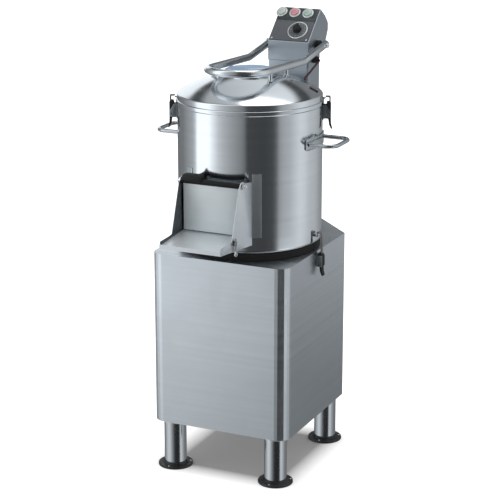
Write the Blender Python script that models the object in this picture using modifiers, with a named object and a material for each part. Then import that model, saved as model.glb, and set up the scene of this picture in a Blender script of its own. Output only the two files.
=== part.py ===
"""Floor-standing electric potato peeler, built as an assembly of named pieces.

Metres, +Z up. Every place is measured from the drum axis and from the floor, with -Y to the
front. The whole machine hangs on one empty that puts the origin under the middle of its box.
"""

import math

import bmesh
import bpy
from mathutils import Vector

# Clearances and cutter overrun
GAP = 0.0003
RUNNING_GAP = 0.0005
OVERRUN = 0.01
WELD = 0.00001

# Main sizes that the others follow
DRUM_RADIUS = 0.190
COLUMN_HALF_WIDTH = 0.060
COLUMN_STAND = 0.056
COLUMN_DEPTH = 0.080
COLUMN_FRONT = DRUM_RADIUS + COLUMN_STAND
BOX_OVERHANG = 0.002
BOX_FRONT = COLUMN_FRONT - BOX_OVERHANG
BOX_SHOULDER_BACK = 0.118
BOX_HEEL_BACK = 0.122
BOX_DEPTH = 0.139
BOX_SHOULDER_Y = BOX_FRONT + BOX_SHOULDER_BACK
BOX_HEEL_Y = BOX_FRONT + BOX_HEEL_BACK
BOX_REAR = BOX_FRONT + BOX_DEPTH
HINGE_BACK = 0.064
HINGE_Y = BOX_FRONT + HINGE_BACK
ARM_RISE_RUN = 0.143
ARM_BEND_Y = HINGE_Y - ARM_RISE_RUN

# Cabinet
CABINET_SIDE_MARGIN = 0.005
CABINET_FRONT_MARGIN = 0.013
CABINET_HALF_WIDTH = DRUM_RADIUS + CABINET_SIDE_MARGIN
CABINET_FRONT = DRUM_RADIUS + CABINET_FRONT_MARGIN
CABINET_REAR = COLUMN_FRONT + COLUMN_DEPTH
CABINET_CHAMFER = CABINET_HALF_WIDTH - COLUMN_HALF_WIDTH
CABINET_BOTTOM = 0.1345
CABINET_TOP = 0.601
CABINET_CORNER = 0.033
FOLD_RADIUS = 0.004
SHEET = 0.0015
DECK_THICKNESS = 0.003
VENT_WIDTH = 0.07
VENT_HEIGHT = 0.006
VENT_PITCH = 0.018
VENT_COUNT = 5
VENT_Z = 0.46

# Legs and feet
LEG_RADIUS = 0.030
LEG_SIDE_INSET = 0.047
LEG_FRONT_INSET = 0.043
LEG_REAR_INSET = 0.146
LEG_X = CABINET_HALF_WIDTH - LEG_SIDE_INSET
LEG_FRONT_Y = CABINET_FRONT - LEG_FRONT_INSET
LEG_REAR_Y = CABINET_REAR - LEG_REAR_INSET
LEG_COLLAR_RADIUS = 0.036
LEG_COLLAR_HEIGHT = 0.006
FOOT_RADIUS = 0.0465
FOOT_HEIGHT = 0.013
FOOT_RIM = 0.007
FOOT_LIP = 0.0035
FOOT_CHAMFER = 0.002
FOOT_SOLE = 0.004

# Drum
DRUM_BOTTOM = 0.622
DRUM_TOP = 0.992
DRUM_WALL = 0.002
DRUM_CURL = 0.006
BEAD_STAND = 0.003
BEAD_RADIUS = DRUM_RADIUS + BEAD_STAND
BEAD_HEIGHT = 0.0125
BEAD_ROUND = 0.0025
BASE_RING_INSET = 0.003
BASE_RING_WIDTH = 0.037
BASE_RING_RADIUS = DRUM_RADIUS - BASE_RING_INSET
BASE_RING_INNER = BASE_RING_RADIUS - BASE_RING_WIDTH
FLOOR_THICKNESS = 0.004
LINER_THICKNESS = 0.003
LINER_TOP = 0.900
LINER_GROOVE = 0.001
LINER_BANDS = 2

# Peeling disc and drive
DISC_CLEARANCE = 0.012
DISC_RADIUS = DRUM_RADIUS - DISC_CLEARANCE
DISC_TOP = 0.682
DISC_THICKNESS = 0.010
DISC_RIM_RISE = 0.003
RIDGE_COUNT = 3
RIDGE_RADIUS = 0.016
RIDGE_INNER = 0.045
RIDGE_INSET = 0.018
RIDGE_OUTER = DISC_RADIUS - RIDGE_INSET
RIDGE_SINK = 0.007
HUB_RADIUS = 0.030
CAP_RADIUS = 0.022
CAP_HEIGHT = 0.014
SHAFT_RADIUS = 0.012
SHAFT_BOTTOM = 0.425
BEARING_RADIUS = 0.038
BEARING_BOTTOM = 0.500
BEARING_TOP = 0.655
BEARING_FLANGE_RADIUS = 0.068
BEARING_FLANGE_THICKNESS = 0.009
PULLEY_Z = 0.455
PULLEY_THICKNESS = 0.030
MAIN_PULLEY_INSET = 0.105
MAIN_PULLEY_RADIUS = DRUM_RADIUS - MAIN_PULLEY_INSET
MAIN_PULLEY_HUB = 0.026
MAIN_PULLEY_HUB_HEIGHT = 0.008
MOTOR_PULLEY_RADIUS = 0.034
GROOVE_DEPTH = 0.011
GROOVE_BOTTOM_HALF = 0.0055
GROOVE_TOP_HALF = 0.0085
BELT_RADIUS = 0.0045
BELT_GAP = 0.0014
MOTOR_SIDE_INSET = 0.083
MOTOR_FRONT_INSET = 0.091
MOTOR_X = MOTOR_SIDE_INSET - CABINET_HALF_WIDTH
MOTOR_Y = MOTOR_FRONT_INSET - CABINET_FRONT
MOTOR_RADIUS = 0.058
MOTOR_BOTTOM = 0.190
MOTOR_TOP = 0.395
MOTOR_NECK_RADIUS = 0.022
MOTOR_NECK_HEIGHT = 0.010
MOTOR_FIN_COUNT = 8
MOTOR_FIN_DEPTH = 0.006
MOTOR_FIN_WIDTH = 0.005
MOTOR_SHAFT_RADIUS = 0.009
MOUNT_HALF_WIDTH = 0.065
MOUNT_WALL = 0.006
DRAIN_RADIUS = 0.024
DRAIN_BORE = 0.021
DRAIN_INSET = 0.070
DRAIN_Y = DRUM_RADIUS - DRAIN_INSET
DRAIN_Z = 0.300
DRAIN_BEND = 0.060
DRAIN_STUB = 0.026
DRAIN_REACH = CABINET_REAR + DRAIN_STUB
INLET_RADIUS = 0.009
INLET_NUT_RADIUS = 0.015
INLET_NUT_LENGTH = 0.009
INLET_Z = 0.930
GLAND_RADIUS = 0.013
GLAND_STEM = 0.008
GLAND_LENGTH = 0.022
GLAND_NUT_LENGTH = 0.010
GLAND_X = 0.030
GLAND_Z = 0.220

# Discharge chute and its door
CHUTE_INNER_HALF = 0.083
CHUTE_SHEET = 0.002
CHUTE_LENGTH = 0.167
CHUTE_REACH = DRUM_RADIUS + CHUTE_LENGTH
CHUTE_BACK_BOTTOM = 0.646
CHUTE_FRONT_BOTTOM = 0.664
CHUTE_NOSE_TOP = 0.6845
CHUTE_TOP = 0.812
CHEEK_FOOT_STAND = 0.100
CHEEK_TOP_STAND = 0.058
CHUTE_CHEEK_FOOT_Y = DRUM_RADIUS + CHEEK_FOOT_STAND
CHUTE_CHEEK_TOP_Y = DRUM_RADIUS + CHEEK_TOP_STAND
LIP_HEIGHT = 0.011
LIP_TOP = 0.6755
TRAY_FLOOR_Z = 0.683
TRAY_SLOPE = 0.08
MOUTH_HALF = 0.070
MOUTH_BOTTOM = 0.688
MOUTH_TOP = 0.785
DOOR_STAND = 0.039
DOOR_Y = DRUM_RADIUS + DOOR_STAND
DOOR_HALF_WIDTH = 0.0800
DOOR_BOTTOM = 0.6848
DOOR_THICKNESS = 0.003
DOOR_RETURN = 0.012
DOOR_ROD_Z = 0.813
DOOR_ROD_RADIUS = 0.004
DOOR_ROD_OVERHANG = 0.012
DOOR_NUT_RADIUS = 0.007
DOOR_NUT_LENGTH = 0.006
DOOR_KNUCKLE_RADIUS = 0.007
DOOR_EAR_RADIUS = 0.012
DOOR_HANDLE_WIDTH = 0.056
DOOR_HANDLE_HALF_DEPTH = 0.014
DOOR_HANDLE_RISE = 0.019
DOOR_HANDLE_ROUND = 0.006
CATCH_STAND = 0.089
CATCH_Y = DRUM_RADIUS + CATCH_STAND
CATCH_RADIUS = 0.003
CATCH_TOP = 0.692
CATCH_COLLAR_RADIUS = 0.005
CATCH_COLLAR_HEIGHT = 0.003
CATCH_BALL_RADIUS = 0.0047
CATCH_BALL_Z = 0.650
CATCH_EYE_RADIUS = 0.006
CATCH_EYE_Z = 0.678
CATCH_EYE_HEIGHT = 0.010
CATCH_EYE_SINK = 0.0008

# Lid
LID_RADIUS = DRUM_RADIUS
LID_RISE = 0.0571
LID_SPHERE = (LID_RADIUS ** 2 + LID_RISE ** 2) / (2 * LID_RISE)
LID_APEX = 1.0635
LID_EDGE_ROUND = 0.006
LID_SHEET = 0.0015
WINDOW_HOLE = 0.055
WINDOW_RADIUS = 0.0625
WINDOW_THICKNESS = 0.004
WINDOW_TOP = 1.0685
COLLAR_RADIUS = 0.066
COLLAR_CHAMFER = 0.0015
COLLAR_TOP = 1.0668
GASKET_INSET = 0.004
GASKET_WIDTH = 0.005
GASKET_RADIUS = LID_RADIUS - GASKET_INSET
GASKET_INNER = GASKET_RADIUS - GASKET_WIDTH
GASKET_BOTTOM = 0.9915
ARM_TUBE_RADIUS = 0.010
ARM_HALF_SPAN = 0.080
ARM_ARC_Y = 0.067
ARM_AXIS_Z = 1.0738
ARM_SLOPE = 0.041
ARM_BEND_RADIUS = 0.060
ARM_END_OVERHANG = 0.012
HINGE_Z = 1.090
PIVOT_RADIUS = 0.005
PIVOT_HEAD_RADIUS = 0.008
PIVOT_HEAD_LENGTH = 0.004
STUD_RADIUS = 0.005
STUD_FRONT_Y = 0.050
STUD_REAR_Y = 0.052

# Column and control box
COLUMN_CORNER = 0.005
BOX_BOTTOM = 1.050
BOX_EDGE = 0.0015
BOX_FRONT_HEIGHT = 0.053
PANEL_FOOT_Z = BOX_BOTTOM + BOX_FRONT_HEIGHT
PANEL_LENGTH = 0.118
PANEL_TILT = math.radians(43.3)
BOX_SHOULDER_RISE = 0.059
BOX_REAR_SLOPE = 0.021
BOX_REAR_FACE = 0.020
BOX_HEEL_RISE = 0.040
BOX_SHOULDER_Z = PANEL_FOOT_Z + BOX_SHOULDER_RISE
BOX_REAR_HIGH_Z = BOX_SHOULDER_Z - BOX_REAR_SLOPE
BOX_REAR_LOW_Z = BOX_REAR_HIGH_Z - BOX_REAR_FACE
BOX_HEEL_Z = BOX_BOTTOM + BOX_HEEL_RISE
BOX_ROUND = 0.018
PANEL_MARGIN = 0.003
PANEL_THICKNESS = 0.0015
BUTTON_ROW = 0.097
BUTTON_FIRST_X = -0.0482
BUTTON_PITCH = 0.0388
BUTTON_RADIUS = 0.0115
BUTTON_HEIGHT = 0.0045
BUTTON_TRAVEL = 0.003
STRIP_HEIGHT = 0.036
STRIP_THICKNESS = 0.001
BEZEL_RADIUS = 0.016
BEZEL_HEIGHT = 0.005
BEZEL_CHAMFER = 0.0015
TIMER_X = 0.017
TIMER_ROW = 0.038
DIAL_RING_RADIUS = 0.0285
DIAL_RING_WALL = 0.003
DIAL_RING_HEIGHT = 0.003
KNOB_SKIRT_HEIGHT = 0.004
KNOB_GRIP_RADIUS = 0.011
KNOB_GRIP_HEIGHT = 0.014
KNOB_BAR_WIDTH = 0.006
KNOB_BAR_RISE = 0.003

# Swing latches of the lid and clamps of the drum base
LATCH_WIDTH = 0.016
LATCH_THICKNESS = 0.006
LATCH_PIN_RADIUS = 0.0025
LATCH_EAR = 0.002
LATCH_TAIL_FLARE = 0.005
LATCH_BRACKET_HEIGHT = 0.030
LID_LATCH_ANGLE = math.radians(22.0)
LID_LATCH_STAND = 0.017
LID_LATCH_Z = 0.950
LID_LATCH_HOOK_GAP = 0.004
LID_LATCH_RISE = 0.0605
LID_LATCH_TAIL = 0.046
LATCH_NOSE_HEIGHT = 0.0045
CLAMP_STAND = 0.011
CLAMP_Z = 0.575
CLAMP_RISE = 0.075
CLAMP_TAIL = 0.055
CLAMP_NOSE_OVER_KEEPER = 0.005
KEEPER_DEPTH = 0.008
KEEPER_WIDTH = 0.020
KEEPER_HEIGHT = 0.008
KEEPER_GAP = 0.0015

# Lifting handles
HANDLE_Z = 0.892
HANDLE_CENTRE_Y = 0.013
HANDLE_SPAN = 0.114
HANDLE_STAND = 0.066
HANDLE_REACH = DRUM_RADIUS + HANDLE_STAND
HANDLE_ROD_RADIUS = 0.0045
HANDLE_BEND = 0.018
HANDLE_PAD_WIDTH = 0.142
HANDLE_PAD_HEIGHT = 0.030
HANDLE_PAD_THICKNESS = 0.003

# Lid switch
SENSOR_TAB_ANGLE = math.radians(52.0)
SENSOR_TAB_WIDTH = 0.036
SENSOR_TAB_BOTTOM = 0.966
SENSOR_TAB_TOP = 1.006
SENSOR_TAB_THICKNESS = 0.003
SENSOR_TAB_ROUND = 0.016
SENSOR_ANGLE = math.radians(68.0)
SENSOR_WIDTH = 0.013
SENSOR_DEPTH = 0.012
SENSOR_BOTTOM = 0.979
SENSOR_TOP = 1.002
SENSOR_EDGE = 0.002
CABLE_RADIUS = 0.0025
CABLE_END_BACK = 0.050
CABLE_END_Y = COLUMN_FRONT + CABLE_END_BACK
CABLE_END_Z = 1.024
CABLE_RISE = 0.014

# Smoothness of round pieces
DRUM_STEPS = 40
ROUND_STEPS = 20
BUTTON_STEPS = 18
SMALL_STEPS = 12
ARC_STEPS = 14

# Places that follow from the sizes above
AXIS_Y = (CHUTE_REACH - BOX_REAR) / 2
LID_SEAT = DRUM_TOP + GAP
BACK_FACE = CABINET_REAR + GAP - (SHEET + GAP) * math.sqrt(2)
PANEL_TOP_Y = BOX_FRONT + PANEL_LENGTH * math.cos(PANEL_TILT)
PANEL_TOP_Z = PANEL_FOOT_Z + PANEL_LENGTH * math.sin(PANEL_TILT)

FINISHES = {
    "polished_steel": ((0.80, 0.81, 0.83), 0.12, 1.0),
    "brushed_steel": ((0.62, 0.65, 0.68), 0.34, 1.0),
    "bright_steel": ((0.86, 0.87, 0.88), 0.18, 1.0),
    "grey_metal": ((0.30, 0.31, 0.32), 0.45, 1.0),
    "black_plastic": ((0.012, 0.012, 0.013), 0.42, 0.0),
    "black_rubber": ((0.010, 0.010, 0.010), 0.75, 0.0),
    "panel_grey": ((0.10, 0.11, 0.12), 0.50, 0.0),
    "window_blue": ((0.30, 0.42, 0.58), 0.10, 0.0),
    "abrasive_grey": ((0.20, 0.19, 0.18), 0.92, 0.0),
    "motor_paint": ((0.07, 0.10, 0.13), 0.50, 0.2),
    "red_plastic": ((0.62, 0.05, 0.06), 0.30, 0.0),
    "green_plastic": ((0.38, 0.58, 0.44), 0.30, 0.0),
    "clear_plastic": ((0.62, 0.66, 0.62), 0.25, 0.0),
}


def clear_scene():
    for old in list(bpy.data.objects):
        bpy.data.objects.remove(old, do_unlink=True)


def new_collection(name):
    made = bpy.data.collections.new(name)
    bpy.context.scene.collection.children.link(made)
    return made


def make_finish(name):
    colour, roughness, metallic = FINISHES[name]
    material = bpy.data.materials.new(name)
    material.use_nodes = True
    shader = material.node_tree.nodes["Principled BSDF"]
    shader.inputs["Base Color"].default_value = (*colour, 1.0)
    shader.inputs["Roughness"].default_value = roughness
    shader.inputs["Metallic"].default_value = metallic
    material.diffuse_color = (*colour, 1.0)
    return material


clear_scene()
PEELER = new_collection("electric_potato_peeler")
CUTTERS = new_collection("cutters")
MATERIALS = {finish: make_finish(finish) for finish in FINISHES}


def new_axis(name, place, turn=(0.0, 0.0, 0.0), parent=None):
    """An empty on a joint axis or a mounting plane, which carries the pieces around it."""
    axis = bpy.data.objects.new(name, None)
    axis.empty_display_size = LEG_RADIUS
    axis.rotation_euler = turn
    axis.location = place
    axis.parent = parent
    PEELER.objects.link(axis)
    bpy.context.view_layer.update()
    return axis


MACHINE = new_axis("machine_axis", (0.0, AXIS_Y, 0.0))


def finish_piece(piece, finish, axis=MACHINE, in_axis_frame=False):
    """Give a piece its material and hang it on its axis.

    Its place stays measured from the drum axis, unless it is written in the axis' own frame.
    """
    piece.data.materials.clear()
    piece.data.materials.append(MATERIALS[finish])
    PEELER.objects.link(piece)
    piece.parent = axis
    if axis is not MACHINE and not in_axis_frame:
        piece.matrix_parent_inverse = axis.matrix_basis.inverted()
    return piece


def smooth(piece, angle=math.radians(35.0)):
    piece.data.shade_smooth()
    piece.data.set_sharp_from_angle(angle=angle)
    return piece


def object_from(name, shape):
    mesh = bpy.data.meshes.new(name)
    shape.to_mesh(mesh)
    shape.free()
    return bpy.data.objects.new(name, mesh)


def round_edges(piece, width, segments=2):
    bevel = piece.modifiers.new("edges", "BEVEL")
    bevel.width = width
    bevel.segments = segments
    bevel.limit_method = "ANGLE"
    return piece


def block(name, size, centre, turn=(0.0, 0.0, 0.0)):
    shape = bmesh.new()
    bmesh.ops.create_cube(shape, size=1.0)
    bmesh.ops.scale(shape, vec=size, verts=shape.verts)
    piece = object_from(name, shape)
    piece.location = centre
    piece.rotation_euler = turn
    return piece


AXIS_TURNS = {"X": (0.0, math.pi / 2, 0.0), "Y": (math.pi / 2, 0.0, 0.0), "Z": (0.0, 0.0, 0.0)}


def rod(name, radius, length, centre, along="Z", steps=SMALL_STEPS):
    shape = bmesh.new()
    bmesh.ops.create_cone(shape, cap_ends=True, segments=steps, radius1=radius, radius2=radius,
                          depth=length)
    piece = object_from(name, shape)
    piece.location = centre
    piece.rotation_euler = AXIS_TURNS[along]
    return smooth(piece)


def ball(name, radius, centre):
    shape = bmesh.new()
    bmesh.ops.create_uvsphere(shape, u_segments=SMALL_STEPS, v_segments=SMALL_STEPS // 2,
                              radius=radius)
    piece = object_from(name, shape)
    piece.location = centre
    return smooth(piece, math.pi)


def turned(name, profile, closed=False, steps=ROUND_STEPS, centre=(0.0, 0.0, 0.0), along="Z"):
    """Spin a profile of radius and height, which runs down its outer side."""
    shape = bmesh.new()
    points = [shape.verts.new((radius, 0.0, height)) for radius, height in profile]
    for first, second in zip(points, points[1:]):
        shape.edges.new((first, second))
    if closed:
        shape.edges.new((points[-1], points[0]))
    piece = object_from(name, shape)
    piece.location = centre
    piece.rotation_euler = AXIS_TURNS[along]
    screw = piece.modifiers.new("turning", "SCREW")
    screw.steps = steps
    screw.render_steps = steps
    screw.use_merge_vertices = True
    screw.merge_threshold = WELD
    return piece


def arc(centre_r, centre_z, radius, start, end, steps):
    """Points of an arc in a profile, with angles in degrees from the outward direction."""
    points = []
    for step in range(steps + 1):
        angle = math.radians(start + (end - start) * step / steps)
        points.append((centre_r + radius * math.cos(angle), centre_z + radius * math.sin(angle)))
    return points


def rounded(points, radius, steps=5, closed=False):
    """A path whose inner corners are replaced by arcs of one radius, in two or three axes."""
    path = [Vector(point) for point in points]
    count = len(path)
    out = []
    for index, corner in enumerate(path):
        if not closed and index in (0, count - 1):
            out.append(corner)
            continue
        before = path[index - 1] - corner
        after = path[(index + 1) % count] - corner
        half = before.angle(after) / 2
        reach = min(radius / math.tan(half), before.length / 2, after.length / 2)
        start = corner + before.normalized() * reach
        end = corner + after.normalized() * reach
        middle = (before.normalized() + after.normalized()).normalized()
        centre = corner + middle * reach / math.cos(half)
        swing = math.pi - 2 * half
        for step in range(steps + 1):
            share = step / steps
            first = math.sin((1 - share) * swing) / math.sin(swing)
            second = math.sin(share * swing) / math.sin(swing)
            out.append(centre + (start - centre) * first + (end - centre) * second)
    return out


def bent_tube(name, path, radius, fineness=4, closed=False):
    """A tube along a path, with filled ends."""
    curve = bpy.data.curves.new(name, "CURVE")
    curve.dimensions = "3D"
    curve.bevel_depth = radius
    curve.bevel_resolution = fineness
    curve.use_fill_caps = True
    spline = curve.splines.new("POLY")
    spline.points.add(len(path) - 1)
    for point, place in zip(spline.points, path):
        point.co = (*place, 1.0)
    spline.use_cyclic_u = closed
    return bpy.data.objects.new(name, curve)


PLANE_TURNS = {
    "XY": (0.0, 0.0, 0.0),
    "XZ": (math.pi / 2, 0.0, 0.0),
    "YZ": (math.pi / 2, 0.0, math.pi / 2),
}


def flat_plate(name, outline, thickness, centre=(0.0, 0.0, 0.0), plane="XY"):
    """A plate with a flat outline, as thick to both sides of its plane."""
    curve = bpy.data.curves.new(name, "CURVE")
    curve.dimensions = "2D"
    curve.fill_mode = "BOTH"
    curve.extrude = thickness / 2
    spline = curve.splines.new("POLY")
    spline.points.add(len(outline) - 1)
    for point, place in zip(spline.points, outline):
        point.co = (place[0], place[1], 0.0, 1.0)
    spline.use_cyclic_u = True
    piece = bpy.data.objects.new(name, curve)
    piece.location = centre
    piece.rotation_euler = PLANE_TURNS[plane]
    return as_mesh(piece)


def as_mesh(piece):
    """The evaluated piece as a welded mesh object with the same name and place."""
    CUTTERS.objects.link(piece)
    bpy.context.view_layer.update()
    graph = bpy.context.evaluated_depsgraph_get()
    mesh = bpy.data.meshes.new_from_object(piece.evaluated_get(graph))
    shape = bmesh.new()
    shape.from_mesh(mesh)
    bmesh.ops.remove_doubles(shape, verts=shape.verts, dist=WELD)
    bmesh.ops.recalc_face_normals(shape, faces=shape.faces)
    place = piece.matrix_world.copy()
    name = piece.name
    bpy.data.objects.remove(piece, do_unlink=True)
    bpy.data.meshes.remove(mesh)
    solid = object_from(name, shape)
    solid.matrix_world = place
    return solid


def gathered(name, pieces):
    """Several cutters of one kind in one object."""
    shape = bmesh.new()
    for piece in pieces:
        solid = as_mesh(piece)
        solid.data.transform(solid.matrix_basis)
        shape.from_mesh(solid.data)
        bpy.data.objects.remove(solid, do_unlink=True)
    return object_from(name, shape)


def cutter(piece, axis=MACHINE, in_axis_frame=False):
    piece.hide_render = True
    piece.display_type = "WIRE"
    CUTTERS.objects.link(piece)
    piece.parent = axis
    if axis is not MACHINE and not in_axis_frame:
        piece.matrix_parent_inverse = axis.matrix_basis.inverted()
    return piece


def cut(piece, tool, operation="DIFFERENCE"):
    boolean = piece.modifiers.new("cut", "BOOLEAN")
    boolean.operation = operation
    boolean.object = tool
    return piece


def cabinet_outline(inset=0.0, rear=CABINET_REAR):
    """Plan of the cabinet seen from above, drawn in from its outer face by an inset."""
    side = CABINET_HALF_WIDTH - inset
    front = CABINET_FRONT - inset
    diagonal = CABINET_HALF_WIDTH + CABINET_REAR - CABINET_CHAMFER - inset * math.sqrt(2)
    corner = max(CABINET_CORNER - inset, FOLD_RADIUS)
    left_front = rounded([(-side, 0.0), (-side, -front), (0.0, -front)], corner, 6)[1:-1]
    right_front = [Vector((-point.x, point.y)) for point in reversed(left_front)]
    return [
        Vector((rear - diagonal, rear)),
        Vector((-side, diagonal - side)),
        *left_front,
        *right_front,
        Vector((side, diagonal - side)),
        Vector((diagonal - rear, rear)),
    ]


def build_cabinet():
    height = CABINET_TOP - CABINET_BOTTOM
    shape = bmesh.new()
    points = [shape.verts.new((place.x, place.y, 0.0)) for place in cabinet_outline()]
    edges = [shape.edges.new(pair) for pair in zip(points, points[1:])]
    raised = bmesh.ops.extrude_edge_only(shape, edges=edges)["geom"]
    lifted = [item for item in raised if isinstance(item, bmesh.types.BMVert)]
    bmesh.ops.translate(shape, vec=(0.0, 0.0, height), verts=lifted)
    wrap = object_from("cabinet_wrap", shape)
    wrap.location.z = CABINET_BOTTOM
    skin = wrap.modifiers.new("sheet", "SOLIDIFY")
    skin.thickness = SHEET
    skin.offset = 1.0
    skin.use_even_offset = True
    finish_piece(smooth(wrap), "brushed_steel")

    panel_half = CABINET_HALF_WIDTH - CABINET_CHAMFER - GAP
    panel_y = BACK_FACE - SHEET / 2
    back = block("cabinet_back", (2 * panel_half, SHEET, height), (0.0, panel_y, CABINET_BOTTOM + height / 2))
    slots = []
    for row in range(VENT_COUNT):
        centre = (0.0, panel_y, VENT_Z + row * VENT_PITCH)
        slots.append(block("vent_slot", (VENT_WIDTH, SHEET + OVERRUN, VENT_HEIGHT), centre))
    cut(back, cutter(gathered("vent_slots", slots)))
    cut(back, cutter(rod("drain_hole", DRAIN_RADIUS + GAP, OVERRUN, (0.0, panel_y, DRAIN_Z), "Y",
                         ROUND_STEPS)))
    finish_piece(back, "brushed_steel")

    deck_outline = cabinet_outline(SHEET + GAP, BACK_FACE - SHEET - GAP)
    deck_z = CABINET_TOP - DECK_THICKNESS / 2
    deck = flat_plate("cabinet_deck", deck_outline, DECK_THICKNESS, (0.0, 0.0, deck_z))
    cut(deck, cutter(rod("bearing_hole", BEARING_RADIUS + GAP, OVERRUN, (0.0, 0.0, deck_z), "Z",
                         ROUND_STEPS)))
    cut(deck, cutter(rod("deck_drain_hole", DRAIN_RADIUS + GAP, OVERRUN, (0.0, DRAIN_Y, deck_z),
                         "Z", ROUND_STEPS)))
    finish_piece(deck, "brushed_steel")

    floor_z = CABINET_BOTTOM + DECK_THICKNESS / 2
    base = flat_plate("cabinet_floor", deck_outline, DECK_THICKNESS, (0.0, 0.0, floor_z))
    finish_piece(base, "brushed_steel")


def build_legs():
    leg_top = CABINET_BOTTOM - GAP
    places = {
        "front_left": (-LEG_X, -LEG_FRONT_Y),
        "front_right": (LEG_X, -LEG_FRONT_Y),
        "rear_left": (-LEG_X, LEG_REAR_Y),
        "rear_right": (LEG_X, LEG_REAR_Y),
    }
    leg_profile = [
        (0.0, leg_top),
        (LEG_COLLAR_RADIUS, leg_top),
        (LEG_COLLAR_RADIUS, leg_top - LEG_COLLAR_HEIGHT),
        (LEG_RADIUS, leg_top - LEG_COLLAR_HEIGHT),
        (LEG_RADIUS, FOOT_SOLE + GAP),
        (0.0, FOOT_SOLE + GAP),
    ]
    socket = LEG_RADIUS + GAP
    foot_profile = [
        (0.0, FOOT_SOLE),
        (socket, FOOT_SOLE),
        (socket, FOOT_HEIGHT),
        (socket + FOOT_LIP, FOOT_HEIGHT),
        (FOOT_RADIUS - FOOT_CHAMFER, FOOT_RIM),
        (FOOT_RADIUS, FOOT_RIM - FOOT_CHAMFER),
        (FOOT_RADIUS, 0.0),
        (0.0, 0.0),
    ]
    for corner, (x, y) in places.items():
        leg = turned("leg_" + corner, leg_profile, centre=(x, y, 0.0))
        finish_piece(leg, "polished_steel")
        foot = turned("foot_" + corner, foot_profile, centre=(x, y, 0.0))
        finish_piece(foot, "black_rubber")


def build_drum():
    inner = DRUM_RADIUS - DRUM_WALL
    bead_low = DRUM_TOP - BEAD_HEIGHT
    curl = DRUM_BOTTOM + DRUM_CURL
    bead_r = BEAD_RADIUS - BEAD_ROUND
    profile = [(inner, DRUM_TOP)]
    profile += arc(bead_r, DRUM_TOP - BEAD_ROUND, BEAD_ROUND, 90, 0, 2)
    profile += arc(bead_r, bead_low + BEAD_ROUND, BEAD_ROUND, 0, -90, 1)
    profile += [(DRUM_RADIUS, bead_low)]
    profile += arc(DRUM_RADIUS - DRUM_CURL, curl, DRUM_CURL, 0, -90, 2)
    profile += arc(DRUM_RADIUS - DRUM_CURL, curl, DRUM_CURL - DRUM_WALL, -90, 0, 2)
    drum = turned("drum_shell", profile, closed=True, steps=DRUM_STEPS)
    mouth_depth = DRUM_RADIUS
    mouth_size = (2 * MOUTH_HALF, mouth_depth, MOUTH_TOP - MOUTH_BOTTOM)
    mouth_place = (0.0, -DRUM_RADIUS, (MOUTH_TOP + MOUTH_BOTTOM) / 2)
    mouth = cutter(block("mouth_opening", mouth_size, mouth_place))
    cut(drum, mouth)
    keeper_depth = DRUM_WALL / 2 + GAP + KEEPER_DEPTH
    for side in (-1, 1):
        keeper = block("keeper", (keeper_depth, KEEPER_WIDTH, KEEPER_HEIGHT),
                       (side * (DRUM_RADIUS - DRUM_WALL / 2 + keeper_depth / 2), 0.0,
                        CLAMP_Z + CLAMP_RISE - KEEPER_GAP - KEEPER_HEIGHT / 2))
        cut(drum, cutter(keeper), "UNION")
    finish_piece(drum, "polished_steel")

    ring_profile = [
        (BASE_RING_INNER, DRUM_BOTTOM - GAP),
        (BASE_RING_RADIUS, DRUM_BOTTOM - GAP),
        (BASE_RING_RADIUS, CABINET_TOP + GAP),
        (BASE_RING_INNER, CABINET_TOP + GAP),
    ]
    ring = turned("drum_base_ring", ring_profile, closed=True, steps=DRUM_STEPS)
    finish_piece(ring, "black_rubber")

    floor_low = DRUM_BOTTOM + DRUM_WALL + GAP
    floor_high = floor_low + FLOOR_THICKNESS
    floor_radius = DRUM_RADIUS - DRUM_CURL
    floor_profile = [
        (BEARING_RADIUS + GAP, floor_high),
        (floor_radius, floor_high),
        (floor_radius, floor_low),
        (BEARING_RADIUS + GAP, floor_low),
    ]
    floor = turned("drum_floor", floor_profile, closed=True, steps=DRUM_STEPS)
    cut(floor, cutter(rod("waste_hole", DRAIN_BORE, OVERRUN, (0.0, DRAIN_Y, floor_low), "Z",
                          ROUND_STEPS)))
    finish_piece(floor, "brushed_steel")

    liner_outer = inner - GAP
    liner_inner = liner_outer - LINER_THICKNESS
    liner_bottom = curl + GAP
    band = (LINER_TOP - liner_bottom) / LINER_BANDS
    liner_profile = [(liner_outer, LINER_TOP), (liner_outer, liner_bottom)]
    for index in range(LINER_BANDS):
        low = liner_bottom + index * band
        liner_profile.append((liner_inner + LINER_GROOVE, low))
        liner_profile.append((liner_inner, low + band / 2))
    liner_profile.append((liner_inner + LINER_GROOVE, LINER_TOP))
    liner = turned("abrasive_liner", liner_profile, closed=True, steps=DRUM_STEPS)
    cut(liner, mouth)
    finish_piece(liner, "abrasive_grey")


def groove_profile(radius, bore, low, high):
    """A pulley with one V groove, as a closed profile around its bore."""
    middle = (low + high) / 2
    floor = radius - GROOVE_DEPTH
    return [
        (bore, high),
        (radius, high),
        (radius, middle + GROOVE_TOP_HALF),
        (floor, middle + GROOVE_BOTTOM_HALF),
        (floor, middle - GROOVE_BOTTOM_HALF),
        (radius, middle - GROOVE_TOP_HALF),
        (radius, low),
        (bore, low),
    ]


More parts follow.
